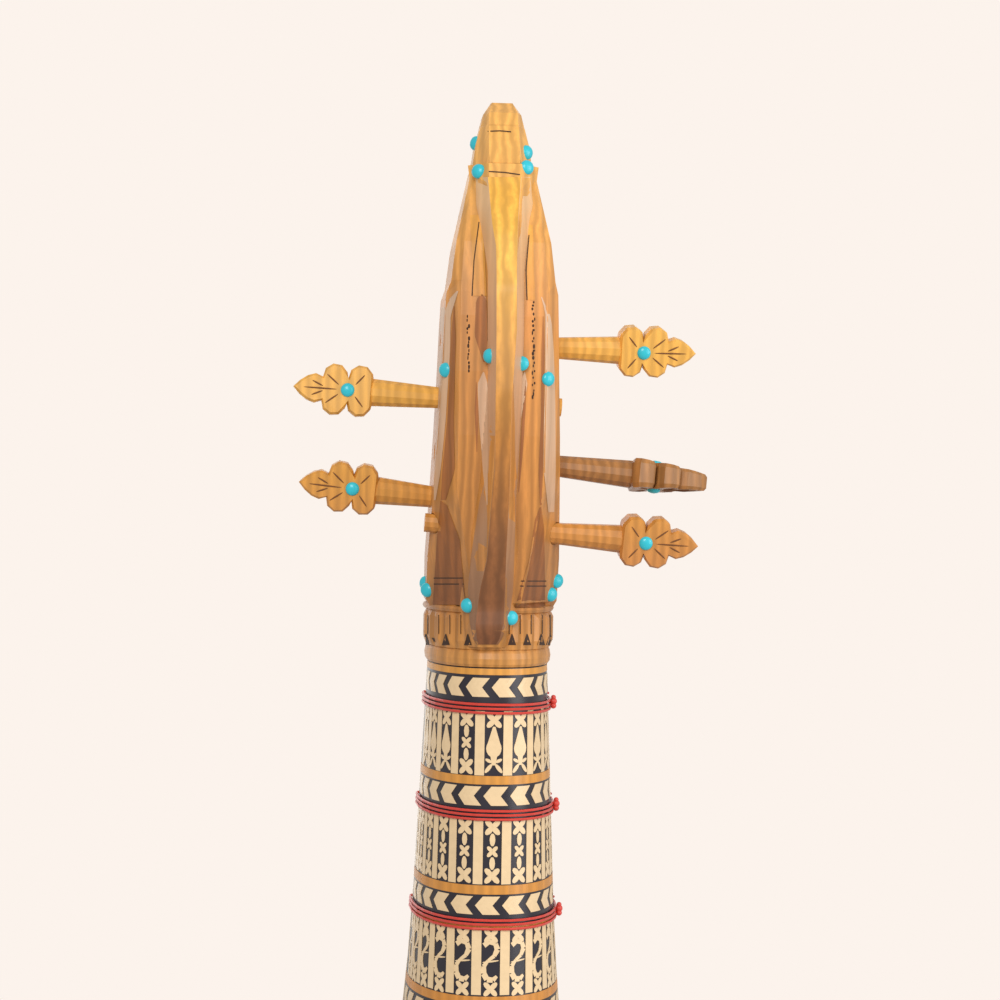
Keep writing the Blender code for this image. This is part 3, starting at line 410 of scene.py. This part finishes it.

# Chamfers and troughs
# The back's long corners are cut down to pale bare wood, with a brown band beside each. Golden
# troughs, a hollow on the left, and a leaf and a groove on each side flank the crest. The brown of
# the bands, the hollow and the grooves is painted shade.

# Each skin's left and right edges in the picture.
CUT_EDGES = {
    "chamfer_left": (
        ((457, 291), (441.5, 308), (439, 335), (437.5, 400), (434.5, 470), (434, 500)),
        ((458.7, 291), (451, 315), (450.4, 350), (446, 420), (441, 470), (436, 500)),
    ),
    "chamfer_right": (
        ((541, 297), (545.4, 312), (545.4, 380), (544, 420), (543.5, 470), (548, 512)),
        ((542, 297), (551, 318), (553.5, 350), (555, 400), (555.5, 470), (554, 512)),
    ),
    "side_band_left": (
        ((454, 306), (451.5, 335), (447.5, 420), (442.5, 470), (441, 500)),
        ((454.6, 306), (456, 335), (454, 420), (455, 470), (446, 500)),
    ),
    "side_band_right": (
        ((543, 316), (541.3, 350), (541, 420), (538.5, 470), (540, 505)),
        ((543.4, 316), (544.6, 350), (543.5, 420), (543, 470), (541.5, 505)),
    ),
    "trough_left": (
        ((470, 215), (472, 250), (473, 296)),
        ((480, 215), (484.5, 246), (487, 296)),
    ),
    "hollow_left": (
        ((481, 294), (476, 300), (474.5, 335), (483, 362)),
        ((482, 294), (487, 300), (488, 335), (485, 362)),
    ),
    "leaf_left": (
        ((483, 372), (477.5, 384), (479, 420), (483, 470), (487, 505)),
        ((484, 372), (488, 384), (488, 505)),
    ),
    "groove_left": (
        ((476, 382), (474.5, 410), (476.5, 452)),
        ((476.5, 382), (478.5, 415), (477, 452)),
    ),
    "trough_right": (
        ((528, 225), (526, 300)),
        ((533, 225), (535, 300)),
    ),
    "leaf_right": (
        ((524, 372), (521, 384), (519.5, 418)),
        ((525, 372), (527.5, 384), (521, 418)),
    ),
    "groove_right": (
        ((525.6, 380), (522.5, 410), (520, 450), (518.5, 492)),
        ((526, 380), (525.5, 410), (523, 450), (519, 492)),
    ),
}

# Bare mulberry, freshly cut and unoiled, so it is pale and dull.
pale_wood = wood(
    "pale cut wood",
    ((0.0, "#cfa27c"), (1.0, "#dcb999")),
    low_z=0.76,
    high_z=0.87,
    grain=0.14,
    roughness=0.5,
)
# Painted shade: brown mulberry in the hollow, the grooves and the bands beside the chamfers.
painted_shade_wood = wood(
    "painted shade, brown",
    ((0.0, "#a0612e"), (1.0, "#b8743c")),
    low_z=0.76,
    high_z=0.87,
    grain=0.28,
    roughness=0.6,
)
# Mulberry with oil and little stain, bright and golden.
gold_wood = wood(
    "golden cut wood",
    ((0.0, "#d89240"), (1.0, "#eeb04c")),
    low_z=0.84,
    high_z=FINIAL_Z,
    grain=0.2,
    roughness=0.45,
)
for name, material, rows, columns in (
    ("chamfer_left", pale_wood, 24, 6),
    ("chamfer_right", pale_wood, 24, 6),
    ("side_band_left", painted_shade_wood, 24, 6),
    ("side_band_right", painted_shade_wood, 24, 6),
    ("trough_left", gold_wood, 24, 6),
    ("hollow_left", painted_shade_wood, 16, 4),
    ("leaf_left", pale_wood, 24, 6),
    ("groove_left", painted_shade_wood, 16, 2),
    ("trough_right", gold_wood, 24, 6),
    ("leaf_right", pale_wood, 24, 6),
    ("groove_right", painted_shade_wood, 20, 2),
):
    patch(name, *CUT_EDGES[name], material, rows, columns)

# Knife lines
# Fine lines are scored with a knife on the finial, beside the troughs and over the collar, and
# dark notches part the petals at the collar's lower edge. Each line and notch is a flat dark strip:
# painted shade in place of the cut.

KNIFE_LINES = (
    ((434, 578), (463, 578)),
    ((434, 584), (464, 584)),
    ((521, 581), (546, 581)),
    ((520, 586), (546, 586)),
    ((488, 131.5), (500, 131), (511, 132)),
    ((489, 171.6), (505, 172.6), (520, 174.8)),
    ((479, 222), (474, 260), (472, 296)),
    ((488.5, 205), (486, 212), (480, 214)),
    ((529, 235), (526, 270), (527, 300)),
    ((499, 300), (505, 285), (513, 296)),
    ((500, 352), (507, 322), (515, 350)),
    ((499, 430), (505, 402), (510, 428)),
    ((480, 625), (490, 624.5), (500, 624)),
)
PETAL_LINES = (428, 439, 450, 461, 509, 520, 531, 542, 550)
PETAL_NOTCHES = (426, 446, 468, 512, 527, 541, 550)
PETAL_TOP = 615
PETAL_LOW = 634
NOTCH_LOW = 645
NOTCH_HALF_WIDTHS = (0.5, 4)
LINE_HALF_WIDTH = 0.55
PETAL_LINE_HALF_WIDTH = 0.4
LINE_LIFT = 0.00016
LINE_STEP = 3


def add_stroke(strokes, places, half):
    """A fine cut between places in the picture."""
    rows = []
    for (ax, ay), (bx, by) in zip(places, places[1:]):
        steps = max(2, int(math.hypot(bx - ax, by - ay) / LINE_STEP))
        nx, ny = -(by - ay), bx - ax
        size = math.hypot(nx, ny)
        for i in range(steps + 1):
            x, y = ax + (bx - ax) * i / steps, ay + (by - ay) * i / steps
            pair = []
            for side in (-half, half):
                point, normal = on_head(x + nx / size * side, y + ny / size * side)
                pair.append(strokes.verts.new(point + normal * LINE_LIFT))
            rows.append(pair)
    for a, b in zip(rows, rows[1:]):
        strokes.faces.new((a[0], a[1], b[1], b[0]))


strokes = bmesh.new()
for places in KNIFE_LINES:
    add_stroke(strokes, places, LINE_HALF_WIDTH)
for x in PETAL_LINES:
    add_stroke(strokes, ((x, PETAL_TOP), (x, PETAL_LOW)), PETAL_LINE_HALF_WIDTH)
show("knife_lines", mesh_from("knife_lines", strokes), cut_shade)
narrow, broad = NOTCH_HALF_WIDTHS
for number, x in enumerate(PETAL_NOTCHES):
    left_edge = ((x - narrow, PETAL_LOW), (x - broad, NOTCH_LOW))
    right_edge = ((x + narrow, PETAL_LOW), (x + broad, NOTCH_LOW))
    patch(f"petal_notch_{number}", left_edge, right_edge, cut_shade, rows=4, columns=2)

# Crest
# The ridge that runs down the back, carved from the head's own block, bright with painted light at
# the top, where it faces up, and dark with painted shade over the collar, where it faces down. Its
# flat shows growth rings, and its sides are pale, with the same painted shade low down.

# Height in the picture, then the outer left, left, right and outer right edges.
CREST = (
    (177, 476, 488, 521, 530),
    (205, 476, 490.5, 519, 533),
    (222, 480, 492, 518, 529),
    (246, 484.5, 496, 517.5, 527),
    (270, 488, 496.5, 517, 524),
    (330, 488, 496.5, 517, 524),
    (400, 488, 495.6, 512, 522),
    (470, 488, 495, 510, 518),
    (500, 480, 492, 509, 516),
    (560, 470.5, 487, 506, 514),
    (590, 468, 480, 505, 513),
    (624, 470, 475.5, 503.5, 508),
    (641, 474, 477, 499, 501),
    (644.5, 477, 479, 496, 498),
)
CREST_ROWS = 90
CREST_FLAT_LIFT = 0.0003
CREST_EDGE_LIFT = 0.0001
CREST_LOW_Z = 0.729

# Mulberry with wide growth rings, its colour running by height from painted light in gold at the
# top to painted shade in dark brown over the collar.
crest_wood = wood(
    "crest, painted light to painted shade",
    (
        (0.0, "#7d4c2c"),
        (0.22, "#8f5a30"),
        (0.42, "#b87832"),
        (0.62, "#dfa04c"),
        (0.8, "#f6ba50"),
        (1.0, "#f0ae40"),
    ),
    low_z=CREST_LOW_Z,
    high_z=FINIAL_Z,
    grain=0.30,
    figure=70,
    along=0.3,
)
# The same wood on the crest's sides, cut last and left pale, and darker low down with painted shade.
crest_side_wood = wood(
    "crest sides, pale",
    ((0.0, "#8a5c3a"), (0.35, "#b98a64"), (0.6, "#d9ab84"), (1.0, "#e7bc88")),
    low_z=CREST_LOW_Z,
    high_z=FINIAL_Z,
    grain=0.12,
)
crest_table = np.array(CREST, float)
crest_faces = bmesh.new()
lines = []
for y in np.linspace(CREST[0][0], CREST[-1][0], CREST_ROWS):
    edges = [np.interp(y, crest_table[:, 0], crest_table[:, i]) for i in (1, 2, 3, 4)]
    outer_left, left, right, outer_right = edges
    crown, _ = on_head((left + right) / 2, y)
    flat_y = crown.y + CREST_FLAT_LIFT
    line = []
    flat = (left, left * 0.75 + right * 0.25, (left + right) / 2, left * 0.25 + right * 0.75, right)
    for px in (outer_left, *flat, outer_right):
        if px in (outer_left, outer_right):
            point, normal = on_head(px, y)
            point = point + normal * CREST_EDGE_LIFT
        else:
            aim = sight(px, y)
            point = camera.location + aim * ((camera.location.y - flat_y) / -aim.y)
        line.append(crest_faces.verts.new(point))
    lines.append(line)
for upper, lower in zip(lines, lines[1:]):
    last = len(upper) - 2
    for c in range(last + 1):
        face = crest_faces.faces.new((upper[c], upper[c + 1], lower[c + 1], lower[c]))
        face.material_index = 0 if 0 < c < last else 1
crest = show("crest_face", mesh_from("crest_face", crest_faces), crest_wood)
crest.data.materials.append(crest_side_wood)

# Pegs
# Five turned shafts of the same wood, held in the head by friction. Each grip is carved as a
# flower with two pairs of lobes and a pointed leaf, with cut veins and a bead on both faces.

GRIP_LENGTH = 0.028
GRIP_HALF_T = 0.0054
LEAF_HALF_T = 0.003
GRIP_BEAD_X = 0.0088
GRIP_BEAD_SEAT = 0.86
GRIP_BEAD_R = BEAD_R * 0.95
VEIN_HALF_WIDTH = 0.00028
NUT_Z = 0.745
WEATHERED_PEG = "peg_right_middle"
# Each peg's name, side, height over the nut, depth, tilt and turn in degrees.
PEGS = (
    ("peg_right_upper", -1, 0.0912, -0.022, 0.7, 12),
    ("peg_left_upper", 1, 0.0708, -0.018, 3.3, 0),
    ("peg_right_middle", -1, 0.0506, -0.020, 5.3, 84),
    ("peg_left_lower", 1, 0.0346, -0.026, 5.5, -6),
    ("peg_right_lower", -1, 0.0259, -0.013, 3.8, 10),
)
# The two ends of each vein, along the grip and across it.
VEINS = (
    (0.0125, 0.0, 0.0245, 0.0),
    (0.0120, 0.0016, 0.0165, 0.0052),
    (0.0120, -0.0016, 0.0165, -0.0052),
    (0.0062, 0.0020, 0.0030, 0.0058),
    (0.0062, -0.0020, 0.0030, -0.0058),
    (0.0175, 0.0008, 0.0215, 0.0026),
    (0.0175, -0.0008, 0.0215, -0.0026),
)

# Oiled mulberry, worn bright and yellow by the hand.
peg_wood = wood(
    "carved peg wood",
    ((0.0, "#c98544"), (0.3, "#d9973f"), (0.62, "#e9ac4c"), (1.0, "#eeb353")),
    low_z=0.76,
    high_z=0.85,
    grain=0.2,
)
# Mulberry gone brown with age.
dark_peg_wood = wood(
    "weathered peg wood",
    ((0.0, "#9a6430"), (1.0, "#c08a50")),
    low_z=0.76,
    high_z=0.85,
    grain=0.26,
)
# Painted shade in the cut veins, brown and dull.
vein_shade = plain("painted shade in vein cuts", "#6e4018", roughness=0.6, blotch=0.2)
for name, side, height, depth_y, tilt, turn in PEGS:
    finish_node(name, dark_peg_wood if name == WEATHERED_PEG else peg_wood)
    angles = Euler((math.radians(turn), -side * math.radians(tilt), math.pi if side < 0 else 0.0))
    place = Matrix.Translation((0, depth_y, NUT_Z + height)) @ angles.to_matrix().to_4x4()
    low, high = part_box(name)
    tip = max(abs(low[0]), abs(high[0])) / math.cos(math.radians(tilt))
    start = tip - GRIP_LENGTH
    grip_beads = bmesh.new()
    for face in (-1, 1):
        middle = place @ Vector((start + GRIP_BEAD_X, face * GRIP_HALF_T * GRIP_BEAD_SEAT, 0))
        normal = (place.to_3x3() @ Vector((0, face, 0))).normalized()
        add_bead(grip_beads, middle, normal, GRIP_BEAD_R, BEAD_RISE)
    show(name + "_beads", mesh_from(name + "_beads", grip_beads), turquoise, name)
    # Each vein is a thin dark rod on the grip: painted shade in place of the cut.
    veins = bmesh.new()
    for face in (-1, 1):
        for x0, z0, x1, z1 in VEINS:
            ends = []
            for x, z in ((x0, z0), (x1, z1)):
                thick = GRIP_HALF_T + (LEAF_HALF_T - GRIP_HALF_T) * x / GRIP_LENGTH
                ends.append(place @ Vector((start + x, face * thick, z)))
            along = ends[1] - ends[0]
            spot = Matrix.Translation((ends[0] + ends[1]) / 2) @ turned_to(along)
            thin = Matrix.Diagonal((VEIN_HALF_WIDTH, VEIN_HALF_WIDTH, along.length / 2, 1))
            bmesh.ops.create_icosphere(veins, subdivisions=2, radius=1.0, matrix=spot @ thin)
    show(name + "_veins", mesh_from(name + "_veins", veins), vein_shade, name)

# Neck inlay
# The back of the neck is veneered in bone and black: rows of chevrons, and panels with flowers
# between bone strips, divided by plain yellow bands. The tiles are glued to the black ground.

RIM_Y = -0.045
CHEST_Z = 0.372
FLARE_Z = 0.640
SLEEVE_LOW = 0.5871
ROUNDNESS = 2.3
# The neck's half width and then its depth: at the chest, at the joint, and their taper.
NECK_SIZES = ((0.079, 0.0216, 0.0448), (0.108, 0.042, 0.035))
ARCS_PER_METRE = 2000
ARC_POINTS = 90
RIM_ANGLE = 0.0005
METRES_PER_PICTURE_PLACE = 0.000351
SLEEVE_ROWS = 40
SLEEVE_COLUMNS = 60
SLEEVE_T = 0.0012
SLEEVE_DRAWN_IN = 0.05
TILE_RISE = 0.0002
TILE_SINK = 0.0001
BAND_INSET = 0.0006
BAND_TOP_GAP = 0.0002
BAND_TILES = 40
# The foot and top of each band, panel and row in the picture.
BANDS = ((675, 665), (784, 775.5), (893, 884), (927, 922.5), (1002, 993.5), (1051, 1044))
PANELS = ((775, 711, "vase"), (883, 818, "stack"), (992, 928, "scroll"))
CHEVRON_ROWS = ((697, 678), (805, 786), (913, 895), (1024, 1005))
PANEL_INSET = 0.002
MOTIF_HALF_WIDTH = 0.003
PITCH = 0.0100
STRIP_HALF = 0.00170
CHEVRON = 0.0095
CHEVRON_THICK = CHEVRON * 0.64
CHEVRON_PARTS = 3
SLANT = 0.0027
# A petal's place, half length and half width, as shares of the flower's size.
PETAL_PLACE = 0.56
PETAL_HALF_LENGTH = 0.58
PETAL_HALF_WIDTH = 0.33
# The height of each flower of a stack, as a share, with its size, and the drops between them.
STACK_FLOWERS = ((0.13, 0.0031), (0.5, 0.0022), (0.87, 0.0031))
STACK_DROPS = (0.32, 0.68)
# The bends of a scroll: millimetres across, share of the height, and half its width there.
MILLIMETRES = 1000
SCROLL_BENDS = (
    (-2.4, 0.76, 0.9),
    (-0.6, 0.82, 0.8),
    (1.6, 0.79, 0.8),
    (2.3, 0.70, 1.0),
    (1.2, 0.60, 0.7),
    (-0.9, 0.53, 0.5),
    (-2.4, 0.44, 0.8),
    (-2.4, 0.33, 1.0),
    (-1.2, 0.24, 1.0),
    (0.8, 0.23, 0.9),
    (2.2, 0.29, 0.5),
)


def neck_size(z):
    """Half width and depth of the neck, as in the solids."""
    sizes = []
    for chest, top, taper in NECK_SIZES:
        gain = (chest - top - taper * (JOINT_Z - CHEST_Z)) / (FLARE_Z - CHEST_Z) ** 2
        sizes.append(top + taper * (JOINT_Z - z) + gain * max(0.0, FLARE_Z - z) ** 2)
    return sizes


arcs = {}


def arc_at(z):
    """Angles and arc lengths from the middle of the back to the rim."""
    key = round(z * ARCS_PER_METRE)
    if key not in arcs:
        half, deep = neck_size(key / ARCS_PER_METRE)
        angles = np.linspace(math.pi / 2, RIM_ANGLE, ARC_POINTS)
        x = half * np.abs(np.cos(angles)) ** (2 / ROUNDNESS)
        y = deep * np.abs(np.sin(angles)) ** (2 / ROUNDNESS)
        steps = np.hypot(np.diff(x), np.diff(y))
        arcs[key] = (angles, np.concatenate([[0.0], np.cumsum(steps)]))
    return arcs[key]


def rim_at(z):
    """The arc length from the middle of the back to the rim."""
    return arc_at(z)[1][-1]


def on_neck(s, z, lift):
    """The place at an arc length from the middle of the back: positive towards +X."""
    angles, lengths = arc_at(z)
    angle = float(np.interp(abs(s), lengths, angles))
    half, deep = neck_size(z)
    x = math.copysign((half + lift) * math.cos(angle) ** (2 / ROUNDNESS), s)
    return Vector((x, RIM_Y + (deep + lift) * math.sin(angle) ** (2 / ROUNDNESS), z))


def picture_height(py):
    """The height on the back of the neck, which is nearer the camera than the axis."""
    return LEVEL_Z - (py - PICTURE_MIDDLE) * METRES_PER_PICTURE_PLACE


def add_tile(tiles, outline):
    """A thin tile on the neck; its outline is in arc length and height."""
    top = [tiles.verts.new(on_neck(s, z, TILE_RISE)) for s, z in outline]
    low = [tiles.verts.new(on_neck(s, z, -TILE_SINK)) for s, z in outline]
    tiles.faces.new(top)
    tiles.faces.new(low[::-1])
    for i in range(len(outline)):
        j = (i + 1) % len(outline)
        tiles.faces.new((top[i], low[i], low[j], top[j]))


def add_upright(tiles, s, low, high, low_half, high_half):
    """An upright tile with level ends, which may narrow to its top."""
    foot = ((s - low_half, low), (s + low_half, low))
    add_tile(tiles, (*foot, (s + high_half, high), (s - high_half, high)))


def add_band(tiles, low_z, high_z):
    """A plain band from rim to rim."""
    edge = rim_at(high_z) - BAND_INSET
    for i in range(BAND_TILES):
        a = -edge + 2 * edge * i / BAND_TILES
        b = -edge + 2 * edge * (i + 1) / BAND_TILES
        add_tile(tiles, ((a, low_z), (b, low_z), (b, high_z), (a, high_z)))


def ellipse(s, z, half_wide, half_tall, turn=0.0, count=10):
    """The outline of an ellipse round a place on the neck."""
    points = []
    for i in range(count):
        angle = 2 * math.pi * i / count
        a, b = half_wide * math.cos(angle), half_tall * math.sin(angle)
        x = s + a * math.cos(turn) - b * math.sin(turn)
        points.append((x, z + a * math.sin(turn) + b * math.cos(turn)))
    return points


def add_flower(tiles, s, z, size):
    """Four petals in a cross on its corners, round a small middle."""
    for quarter in range(4):
        angle = math.pi / 4 + math.pi / 2 * quarter
        across = s + size * PETAL_PLACE * math.cos(angle)
        up = z + size * PETAL_PLACE * math.sin(angle)
        add_tile(tiles, ellipse(across, up, size * PETAL_HALF_LENGTH, size * PETAL_HALF_WIDTH, angle))


def add_vase(tiles, s, low, high):
    """A flower over a pointed drop on a foot with two legs."""
    tall = high - low
    add_flower(tiles, s, high - tall * 0.14, 0.0031)
    add_upright(tiles, s, low + tall * 0.47, high - tall * 0.24, low_half=0.0024, high_half=0.0004)
    add_tile(tiles, ellipse(s, low + tall * 0.42, half_wide=0.0027, half_tall=tall * 0.14, count=16))
    add_upright(tiles, s, low + tall * 0.16, low + tall * 0.32, low_half=0.0007, high_half=0.0012)
    leg_z, arm_z = low + tall * 0.11, low + tall * 0.23
    for side in (-1, 1):
        x = s + side * 0.0018
        add_tile(tiles, ellipse(x, leg_z, half_wide=0.0020, half_tall=0.0007, turn=side * -0.9))
        add_tile(tiles, ellipse(x, arm_z, half_wide=0.0013, half_tall=0.0006, turn=side * 0.5, count=8))


def add_stack(tiles, s, low, high):
    """Two large flowers and a small one between them, joined by narrow drops."""
    tall = high - low
    for share, size in STACK_FLOWERS:
        add_flower(tiles, s, low + tall * share, size)
    for share in STACK_DROPS:
        add_tile(tiles, ellipse(s, low + tall * share, half_wide=0.0010, half_tall=tall * 0.10))


def add_scroll(tiles, s, low, high):
    """An S that swells at its bends, with a flower at each end and a thin bar across."""
    tall = high - low
    add_flower(tiles, s, high - tall * 0.09, 0.0028)
    add_flower(tiles, s, low + tall * 0.09, 0.0028)
    for (x0, z0, w0), (x1, z1, w1) in zip(SCROLL_BENDS, SCROLL_BENDS[1:]):
        dx, dz = (x1 - x0) / MILLIMETRES, (z1 - z0) * tall
        size = math.hypot(dx, dz)
        nx, nz = -dz / size / MILLIMETRES, dx / size / MILLIMETRES
        corners = [
            (x0 / MILLIMETRES + nx * w0, low + z0 * tall + nz * w0),
            (x0 / MILLIMETRES - nx * w0, low + z0 * tall - nz * w0),
            (x1 / MILLIMETRES - nx * w1, low + z1 * tall - nz * w1),
            (x1 / MILLIMETRES + nx * w1, low + z1 * tall + nz * w1),
        ]
        add_tile(tiles, [(s - x, z) for x, z in corners])
    add_tile(tiles, ellipse(s, low + tall * 0.515, half_wide=0.0030, half_tall=0.0003, turn=-0.12))


# The black ground between the bone tiles, polished with them: nearly black, with a soft shine.
black = plain("black inlay ground", "#231f2a", roughness=0.35, blotch=0.15)
rows = []
for i in range(SLEEVE_ROWS + 1):
    z = SLEEVE_LOW + (JOINT_Z - SLEEVE_LOW) * i / SLEEVE_ROWS
    rows.append([on_neck(s, z, 0.0) for s in np.linspace(-rim_at(z), rim_at(z), SLEEVE_COLUMNS + 1)])
ground = bmesh.new()
outer = [[ground.verts.new(point) for point in row] for row in rows]
inner = []
for row in rows:
    moved = [point + Vector((-point.x * SLEEVE_DRAWN_IN, -SLEEVE_T, 0)) for point in row]
    inner.append([ground.verts.new(point) for point in moved])
for sheet, order in ((outer, 1), (inner, -1)):
    for low, high in zip(sheet, sheet[1:]):
        for i in range(SLEEVE_COLUMNS):
            ground.faces.new((low[i], low[i + 1], high[i + 1], high[i])[::order])
sleeve = show("neck_ground", mesh_from("neck_ground", ground), black)
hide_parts("neck_inlay")

# Polished bone: warm ivory, smooth and slightly uneven.
bone = plain("polished bone", "#e6c99e", roughness=0.32, blotch=0.10, scale=500)
# Thin strips of yellow wood, oiled.
yellow = wood(
    "yellow dividing strip",
    ((0.0, "#d0893a"), (1.0, "#dc9a42")),
    low_z=0.58,
    high_z=0.73,
    grain=0.15,
    roughness=0.4,
)
bands = bmesh.new()
for low, high in BANDS:
    add_band(bands, picture_height(low), min(JOINT_Z - BAND_TOP_GAP, picture_height(high)))
show("inlay_bands", mesh_from("inlay_bands", bands), yellow)

tiles = bmesh.new()
motifs = {"vase": add_vase, "stack": add_stack, "scroll": add_scroll}
for low_y, high_y, kind in PANELS:
    low, high = picture_height(low_y), picture_height(high_y)
    edge = rim_at(high) - PANEL_INSET
    count = int(edge / PITCH)
    for i in range(-count - 1, count + 1):
        s = (i + 0.5) * PITCH
        if abs(s) + STRIP_HALF <= edge:
            add_upright(tiles, s, low, high, STRIP_HALF, STRIP_HALF)
    for i in range(-count, count + 1):
        s = i * PITCH
        if abs(s) + MOTIF_HALF_WIDTH <= edge:
            # One place in the row of vases holds a stack of flowers.
            add_motif = add_stack if (kind, i) == ("vase", 1) else motifs[kind]
            add_motif(tiles, s, low, high)
for low_y, high_y in CHEVRON_ROWS:
    low, high = picture_height(low_y), picture_height(high_y)
    middle = (low + high) / 2
    edge = rim_at(high) - PANEL_INSET
    s = -edge + PANEL_INSET
    while s + CHEVRON < edge:
        for end in (low, high):
            for k in range(CHEVRON_PARTS):
                shares = (k / CHEVRON_PARTS, (k + 1) / CHEVRON_PARTS)
                ends = [(s + (1 - t) * SLANT, middle + (end - middle) * (1 - t)) for t in shares]
                (x0, z0), (x1, z1) = ends
                for part in range(CHEVRON_PARTS):
                    near = CHEVRON_THICK * part / CHEVRON_PARTS
                    far = CHEVRON_THICK * (part + 1) / CHEVRON_PARTS
                    add_tile(tiles, ((-x0 - near, z0), (-x1 - near, z1), (-x1 - far, z1), (-x0 - far, z0)))
        s += CHEVRON
inlay_bone = show("inlay_bone", mesh_from("inlay_bone", tiles), bone)

# Frets
# Each is three turns of red nylon thread, tied tight round the neck, with a small knot at the side.
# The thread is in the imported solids, and the knot slides with it.

KNOT_Y = -0.030
KNOT_INSET = 0.0002
# The height and radius of each loop of the knot.
KNOT_LOOPS = ((-0.0012, 0.0011), (0.0004, 0.0013), (0.0018, 0.0009))

# Nylon thread, smooth and slightly shiny.
nylon = plain("red nylon thread", "#cf4034", roughness=0.35, blotch=0.15, scale=900)
for number in range(1, 5):
    name = f"fret_{number}"
    finish_node(name, nylon)
    low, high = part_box(name)
    z = (low[2] + high[2]) / 2
    knot = bmesh.new()
    for step, size in KNOT_LOOPS:
        spot = Matrix.Translation((low[0] + KNOT_INSET, KNOT_Y, z + step))
        bmesh.ops.create_icosphere(knot, subdivisions=3, radius=size, matrix=spot)
    show(name + "_knot", mesh_from(name + "_knot", knot), nylon, name)

# Hull and chest
# The hull is one block of mulberry, hollowed from the front and darker than the head. The chest
# plate is a thin board of the same wood, glued over the upper chamber.

# Mulberry with many coats of oil, dark and fairly glossy.
hull_wood = wood(
    "oiled mulberry, dark",
    ((0.0, "#6f4020"), (0.5, "#8a5228"), (1.0, "#9a6030")),
    low_z=0.0,
    high_z=0.72,
    grain=0.25,
    roughness=0.38,
)
for name in ("hull", "chest_plate"):
    finish_node(name, hull_wood)

# Skin
# The belly is goatskin, scraped pale, stretched wet over the bowl and glued down round its sides.
# It dries dull, with faint broad patches.

finish_node("skin", plain("stretched goatskin", "#e0cfa8", roughness=0.6, blotch=0.12, scale=40))

# Bone fittings
# Fingerboard, nut, bridge and string holder are cut from bone and polished like the inlay. The
# bridge stands loose on the skin under the strings.

for name in ("fingerboard", "nut", "bridge", "string_holder"):
    finish_node(name, bone)

# Small pegs and pins
# The sympathetic pegs and the holder's two pins are plain turned wood, browner than the main pegs.
# The small pegs are held in the neck's side by friction.

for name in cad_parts:
    if name.startswith(("sympathetic_peg", "holder_pin")):
        finish_node(name, dark_peg_wood)

# Strings
# Five main strings of clear nylon run over the bridge and the nut to the head's pegs, and thirteen
# plain steel strings run through the bridge to the small pegs.

# Clear nylon looks milky over the wood, with a shine.
clear_nylon = plain("clear nylon string", "#e6dfca", roughness=0.25)
# Drawn steel wire, bright and smooth.
steel = plain("plain steel string", "#b8b8bc", roughness=0.28, metallic=1.0)
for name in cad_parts:
    if name.startswith("main_string"):
        finish_node(name, clear_nylon)
    elif name.startswith("sympathetic_string"):
        finish_node(name, steel)
